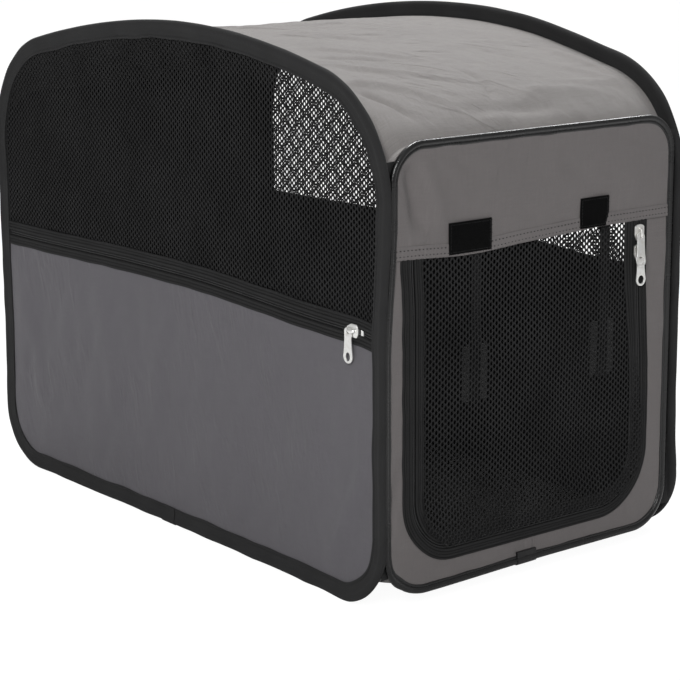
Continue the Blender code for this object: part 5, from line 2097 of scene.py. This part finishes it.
@dataclass(frozen=True)
class SoftSquare:
    """A hook-and-loop square: a backing that thins to its edge, a pile, and a box of stitches.

    Its `place` maps the two axes and a distance out to the crate.
    """

    name: str
    node: str
    place: Callable
    low: tuple[float, float]
    high: tuple[float, float]
    outs: tuple[float, float]
    finish: Material
    body: str
    facing: tuple[float, float, float]
    under: str

    def build(self, items: Items) -> None:
        """Makes the backing, the pile and the stitches."""
        (a_low, b_low), (a_high, b_high) = self.low, self.high
        foot, face = self.outs
        a, b = np.meshgrid(np.linspace(a_low, a_high, 15), np.linspace(b_low, b_high, 11), indexing="ij")
        edge = np.minimum.reduce((a - a_low, a_high - a, b - b_low, b_high - b))
        grid = self.place(a, b, (foot + face) / 2 + 0.0002 * smoothstep(edge, 0.0, 0.003))
        mesh = sheet_mesh(grid, face - foot, np.stack((a, b), axis=2))
        piece = add_piece(f"{self.name}_backing", mesh, self.finish, self.body, [self.node], "hook")
        carrier = carrier_mesh(self.place(a, b, np.full_like(a, face)))
        if carrier.polygons[0].normal.dot(Vector(self.facing)) < 0:
            carrier.flip_normals()
        name = f"{self.name}_tufts"
        values = {"Spacing": 0.00075, "Density": 1500000.0, "Lean": 0.5, "Seed": 3}
        tufts = items.piles.run(carrier, name, Item=items.tuft, Material=self.finish, **values)
        add_piece(name, tufts, self.finish, self.body, slot="hook")
        path = self.stitch_path()
        points = self.place(path[:, 0], path[:, 1], np.full(len(path), face + 0.0002))
        name = f"{self.name}_stitches"
        items.row(items.seam, name, points, self.facing, 0.0028, 33, self.body, "hook", closed=True)

    def stitch_path(self) -> np.ndarray:
        """The box of stitches, a little inside the edge."""
        inset = 0.0018
        a_low, b_low = (value + inset for value in self.low)
        a_high, b_high = (value - inset for value in self.high)
        corners = np.array(((a_low, b_low), (a_high, b_low), (a_high, b_high), (a_low, b_high)))
        share = np.arange(10)[:, None] / 10
        turned = np.roll(corners, -1, axis=0)
        return np.concatenate([first + (second - first) * share for first, second in zip(corners, turned)])


class Door:
    """The net door and its half of the zipper."""

    def __init__(self, front: FrontEnd) -> None:
        """Uses the front end's plane, finishes and items."""
        self.front = front

    def build(self) -> None:
        """Makes the net and the zipper half."""
        front = self.front
        front.make_zip_half("door_zip", 1, SIZES.hem_z + 0.0035, "door")
        inset = SIZES.zip_half - 0.0040
        reach = SIZES.door_zip_half - inset
        low = SIZES.door_zip_low + inset
        radius = SIZES.door_zip_radius - inset
        x = spaced(reach, 90, 0.5)
        past = np.maximum(np.abs(x) - (reach - radius), 0)
        foot = low + radius - np.sqrt(np.maximum(radius**2 - past**2, 0))
        top = SIZES.hem_z + 0.0015
        panel = Panel(x, foot, top, 80)
        mask = smoothstep(np.minimum(panel.below, panel.beside), 0.005, 0.030)
        mask = mask * smoothstep(panel.above, 0.002, 0.03)
        slack = relief([Wrinkles(0.0009, 0.13, 211), Wrinkles(0.0003, 0.05, 212)], panel.along, panel.height)
        low_share = 1 - smoothstep(panel.height, 0.10, 0.24)
        foot_share = 1 - smoothstep(panel.below, 0.0, 0.030)
        grid_x = panel.along + 0.0118 * smoothstep(panel.along, reach - 0.030, reach) * low_share
        grid_z = panel.height - 0.0085 * foot_share
        over = np.maximum(smoothstep(grid_x, reach - 0.006, reach + 0.002) * low_share, foot_share**0.5)
        mesh = front.items.net(
            front.place_flat(grid_x + SIZES.door_shift, grid_z, slack * mask - 0.0001 + 0.0026 * over),
            (SIZES.door_shift, -0.36, 0.165),
            (math.pi / 2, 0.0, 0.0),
            (0.0, 1.0, 0.0),
            (0.27, 0.27),
        )
        piece = add_piece("door_mesh", mesh, front.finishes.net, "door", ["door_net"], "net")


# Roof and floor

class Sheets:
    """The roof and the floor between the sides."""

    def __init__(self, finishes: Finishes) -> None:
        """Uses the finishes and both sides' shapes."""
        self.finishes = finishes
        self.left = SideShape(-1)
        self.right = SideShape(1)

    def edge_shift(self, x: np.ndarray, y: np.ndarray, z: np.ndarray) -> np.ndarray:
        """How far the sides carry the sheet's edges outwards."""
        near = smoothstep(-x / SIZES.sheet_x, 0.55, 1.0)
        far = smoothstep(x / SIZES.sheet_x, 0.55, 1.0)
        return self.right.flare(y, z) * far - self.left.flare(y, z) * near

    def edge_drop(self, x: np.ndarray, y: np.ndarray, z: np.ndarray) -> np.ndarray:
        """How far the sides' sunken tops pull the roof down beside them."""
        near = smoothstep(-x / SIZES.sheet_x, 0.2, 0.97)
        far = smoothstep(x / SIZES.sheet_x, 0.2, 0.97)
        return self.right.droop(y, z) * far + self.left.droop(y, z) * near

    def build(self) -> None:
        """Makes both sheets."""
        self.make_roof()
        self.make_floor()

    def roof_relief(self) -> list[Callable]:
        """The roof's wrinkles, in x and y, as heights."""
        found = [
            Wrinkles(0.0011, 0.15, 221),
            Wrinkles(0.00060, 0.042, 222, lean=0.8, spread=1.0),
            Wrinkles(0.00022, 0.013, 223, lean=0.8, spread=1.3),
        ]
        for start, end, width, height, bow in (
            ((-0.110, -0.110), (-0.015, -0.205), 0.0042, 0.0013, 0.006),
            ((-0.120, -0.145), (-0.040, -0.190), 0.0034, -0.0011, 0.004),
            ((-0.128, -0.165), (-0.020, -0.232), 0.0048, 0.0014, -0.005),
            ((-0.142, -0.235), (-0.108, -0.277), 0.0036, -0.0014, 0.002),
            ((-0.146, -0.222), (-0.060, -0.262), 0.0060, 0.0017, 0.005),
            ((-0.018, -0.205), (-0.022, -0.264), 0.0034, -0.0012, 0.012),
            ((-0.085, -0.050), (0.000, -0.120), 0.0040, 0.0011, 0.007),
            ((-0.070, -0.020), (0.030, -0.090), 0.0036, -0.0009, -0.006),
            ((-0.050, 0.030), (0.060, -0.060), 0.0050, 0.0010, 0.008),
            ((-0.110, 0.060), (-0.030, -0.020), 0.0044, 0.0010, -0.006),
            ((0.010, -0.258), (0.120, -0.262), 0.0075, 0.0013, 0.003),
            ((-0.060, -0.268), (0.060, -0.274), 0.0060, -0.0012, 0.002),
            ((0.060, -0.244), (0.150, -0.252), 0.0060, 0.0010, 0.0),
            ((0.020, -0.140), (0.120, -0.215), 0.0060, 0.0009, 0.006),
            ((0.145, -0.262), (0.080, -0.190), 0.0070, 0.0014, 0.0),
            ((0.150, -0.250), (0.120, -0.150), 0.0070, 0.0012, 0.0),
            ((-0.145, 0.262), (-0.070, 0.180), 0.0060, 0.0016, 0.004),
            ((0.145, 0.262), (0.070, 0.180), 0.0060, 0.0016, -0.004),
            ((-0.030, 0.250), (0.080, 0.200), 0.0050, 0.0011, 0.006),
        ):
            found.append(Fold(start, end, width * 0.85, height * 2.6, bow))
        return found

    def make_roof(self) -> None:
        """The barrel-shaped roof, which rises at its ends to the end hoops."""
        reach = SIZES.sheet_reach
        x, y = spaced(SIZES.sheet_x, 150, 0.35), spaced(reach, 310, 0.75)
        grid_x, grid_y = np.meshgrid(x, y, indexing="ij")
        grid_x = grid_x * SIZES.sheet_width(grid_y)
        level = SIZES.sheet_level(grid_y)
        edge = SIZES.arch_height(SIZES.sheet_level(np.array(reach)), SIZES.sheet_offset)
        top = SIZES.end_line(grid_x, SIZES.piping_radius, True)
        rise = np.maximum(top - edge, 0)
        close = np.clip(1 - (reach - np.abs(grid_y)) / 0.070, 0, 1)
        height = SIZES.arch_height(level, SIZES.sheet_offset) + rise * close**2
        room = np.minimum(SIZES.sheet_x - np.abs(grid_x), reach - np.abs(grid_y))
        mask = smoothstep(room, 0.001, 0.022)
        wrinkled = relief(self.roof_relief(), grid_x, grid_y) * mask
        height = height + wrinkled - self.edge_drop(grid_x, grid_y, height)
        grid = np.stack((grid_x + self.edge_shift(grid_x, grid_y, height), grid_y, height), axis=2)
        arc_y = np.cumsum(np.concatenate(([0.0], np.linalg.norm(np.diff(grid[75], axis=0), axis=1))))
        coords = np.stack((grid_x, np.broadcast_to(arc_y, grid_x.shape)), axis=2)
        mesh = sheet_mesh(grid, SEWN.sheet_cloth, coords)
        finish = self.finishes.roof_cloth
        piece = add_piece("roof_cloth_sheet", mesh, finish, "left_side", ["roof_panel"], "roof_cloth")
        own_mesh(piece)

    def make_floor(self) -> None:
        """The floor, turned up at its ends."""
        reach = SIZES.sheet_reach
        start = SIZES.length / 2 - SIZES.foot_radius
        x, y = spaced(SIZES.sheet_x, 80, 0.0), spaced(reach, 130, 0.7)
        grid_x, grid_y = np.meshgrid(x, y, indexing="ij")
        grid_x = grid_x * SIZES.sheet_width(grid_y)
        level = SIZES.end_line(grid_x, SIZES.piping_radius, False)
        end_height = SIZES.foot_height(SIZES.sheet_level(np.array(reach)), SIZES.sheet_offset)
        full = end_height - SIZES.end_base - SIZES.piping_radius
        share = np.maximum(0, end_height - level) / full
        run = np.clip((np.abs(grid_y) - start) / (reach - start), 0, 1)
        straight = SIZES.sheet_offset + (SIZES.end_base + SIZES.piping_radius - SIZES.sheet_offset) * run
        bent = SIZES.foot_height(SIZES.sheet_level(grid_y), SIZES.sheet_offset)
        height = bent * (1 - share) + straight * share
        room = np.minimum(SIZES.sheet_x - np.abs(grid_x), reach - np.abs(grid_y))
        mask = smoothstep(room, 0.002, 0.03)
        height = height + Wrinkles(0.0008, 0.10, 231)(grid_x, grid_y) * mask
        near = smoothstep(np.abs(grid_x) / SIZES.sheet_x, 0.6, 1.0)
        height = height + self.left.rise(grid_y, np.zeros_like(grid_y)) * near * (grid_x < 0) * 0.7
        grid = np.stack((grid_x + self.edge_shift(grid_x, grid_y, height), grid_y, height), axis=2)
        mesh = sheet_mesh(grid, SEWN.sheet_cloth, np.stack((grid_x, grid_y), axis=2))
        finish = self.finishes.roof_cloth
        piece = add_piece("floor_cloth_sheet", mesh, finish, "left_side", ["floor_panel"], "roof_cloth")
        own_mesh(piece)


# The studio

class Studio:
    """The camera, the lights and the pale floor."""

    def build(self) -> None:
        """Sets everything up."""
        self.set_camera()
        self.set_world()
        self.add_floor()
        self.add_light("top", 1080, (0.5, 0.7, 2.2), (0, 0, 0.2), 0.7, 5.5)
        self.add_light("front", 640, (-2.0, -1.9, 1.6), (0, 0, 0.2), 0.9, 4.0)
        gleam = self.add_light("gleam", 330, (1.75, 0.35, 2.0), (0, -0.3, 0.37), 0.7, 4.0)
        gleam.visible_diffuse = False

    @staticmethod
    def set_camera() -> None:
        """The camera of the photograph: its place, its turn and its lens."""
        around, up, roll = math.radians(-38.137), math.radians(12.925), math.radians(-0.369)
        back = Vector((math.sin(around) * math.cos(up), -math.cos(around) * math.cos(up), math.sin(up)))
        right = (-back).cross(Vector((0, 0, 1))).normalized()
        above = right.cross(-back)
        side = math.cos(roll) * right + math.sin(roll) * above
        high = -math.sin(roll) * right + math.cos(roll) * above
        camera = new_object("camera", bpy.data.cameras.new("camera"))
        camera.data.lens = 108.98
        camera.data.sensor_width = 36
        camera.data.clip_start = 0.05
        camera.data.clip_end = 50
        camera.matrix_world = axes((-1.15361, -1.50370, 0.58599), side, high, back)
        bpy.context.scene.camera = camera

    @staticmethod
    def set_world() -> None:
        """A plain white backdrop for the camera, and a softer white light for the crate."""
        world = bpy.data.worlds.new("studio")
        bpy.context.scene.world = world
        world.use_nodes = True
        tree = Tree(world.node_tree)
        tree.nodes.clear()
        path = tree.add("ShaderNodeLightPath").outputs
        seen = tree.math("MAXIMUM", path["Is Camera Ray"], path["Is Transmission Ray"])
        white = (1, 1, 1, 1)
        light = tree.add("ShaderNodeBackground", {"Color": white, "Strength": 0.35})
        backdrop = tree.add("ShaderNodeBackground", {"Color": white, "Strength": 1.0})
        mix = tree.add("ShaderNodeMixShader", {0: seen, 1: light.outputs[0], 2: backdrop.outputs[0]})
        tree.add("ShaderNodeOutputWorld", {0: mix.outputs[0]})

    @staticmethod
    def add_floor() -> None:
        """A white floor that still takes the crate's soft shadow."""
        reach = 12.0
        corners = np.array(((-reach, -reach, 0), (reach, -reach, 0), (reach, reach, 0), (-reach, reach, 0)))
        material = bpy.data.materials.new("pale_floor")
        material.use_nodes = True
        tree = Tree(material.node_tree)
        tree.nodes.clear()
        seen = tree.add("ShaderNodeLightPath").outputs["Is Camera Ray"]
        diffuse = tree.add("ShaderNodeBsdfDiffuse", {"Color": (0.85, 0.85, 0.85, 1)})
        glow = tree.add("ShaderNodeEmission", {"Strength": 1.19})
        share = tree.math("MULTIPLY", seen, 0.80)
        mix = tree.add("ShaderNodeMixShader", {0: share, 1: diffuse.outputs[0], 2: glow.outputs[0]})
        tree.add("ShaderNodeOutputMaterial", {0: mix.outputs[0]})
        floor = new_object("studio_floor", new_mesh(corners, [(0, 1, 2, 3)]))
        floor.data.materials.append(material)

    @staticmethod
    def add_light(
        name: str, power: float, place: tuple, target: tuple, size: float, scale: float
    ) -> Object:
        """A square soft lamp that faces a point.

        Args:
            name: The lamp's name.
            power: Its power in watts for each square of the scale.
            place: Where it stands.
            target: What it faces.
            size: Length of its side.
            scale: How far the power is divided.

        Returns:
            The lamp.
        """
        data = bpy.data.lights.new(name, "AREA")
        data.energy = power / scale**2
        data.size = size
        lamp = new_object(name, data)
        lamp.location = place
        lamp.rotation_euler = (Vector(target) - Vector(place)).to_track_quat("-Z", "Y").to_euler()
        return lamp


def dress_plain_nodes(finishes: Finishes) -> None:
    """Gives the CAD nodes that stay in view their finishes."""
    for prefix in ("left", "right"):
        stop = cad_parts[f"{prefix}_zip_stop"]
        stop.data.materials.clear()
        stop.data.materials.append(finishes.nickel)


def main() -> None:
    """Builds the crate and the studio."""
    logging.basicConfig(level=logging.INFO, format="%(name)s: %(message)s")
    bpy.context.scene.view_settings.view_transform = "Standard"
    finishes = Finishes()
    items = Items(finishes)
    for side in (-1, 1):
        Side(side, items).build()
    LOG.info("sides built")
    build_sliders(finishes)
    BackEnd(1, items).build()
    front = FrontEnd(-1, items)
    front.build()
    Door(front).build()
    LOG.info("ends and door built")
    Sheets(finishes).build()
    dress_plain_nodes(finishes)
    items.clear()
    Studio().build()


if __name__ == "__main__":
    main()
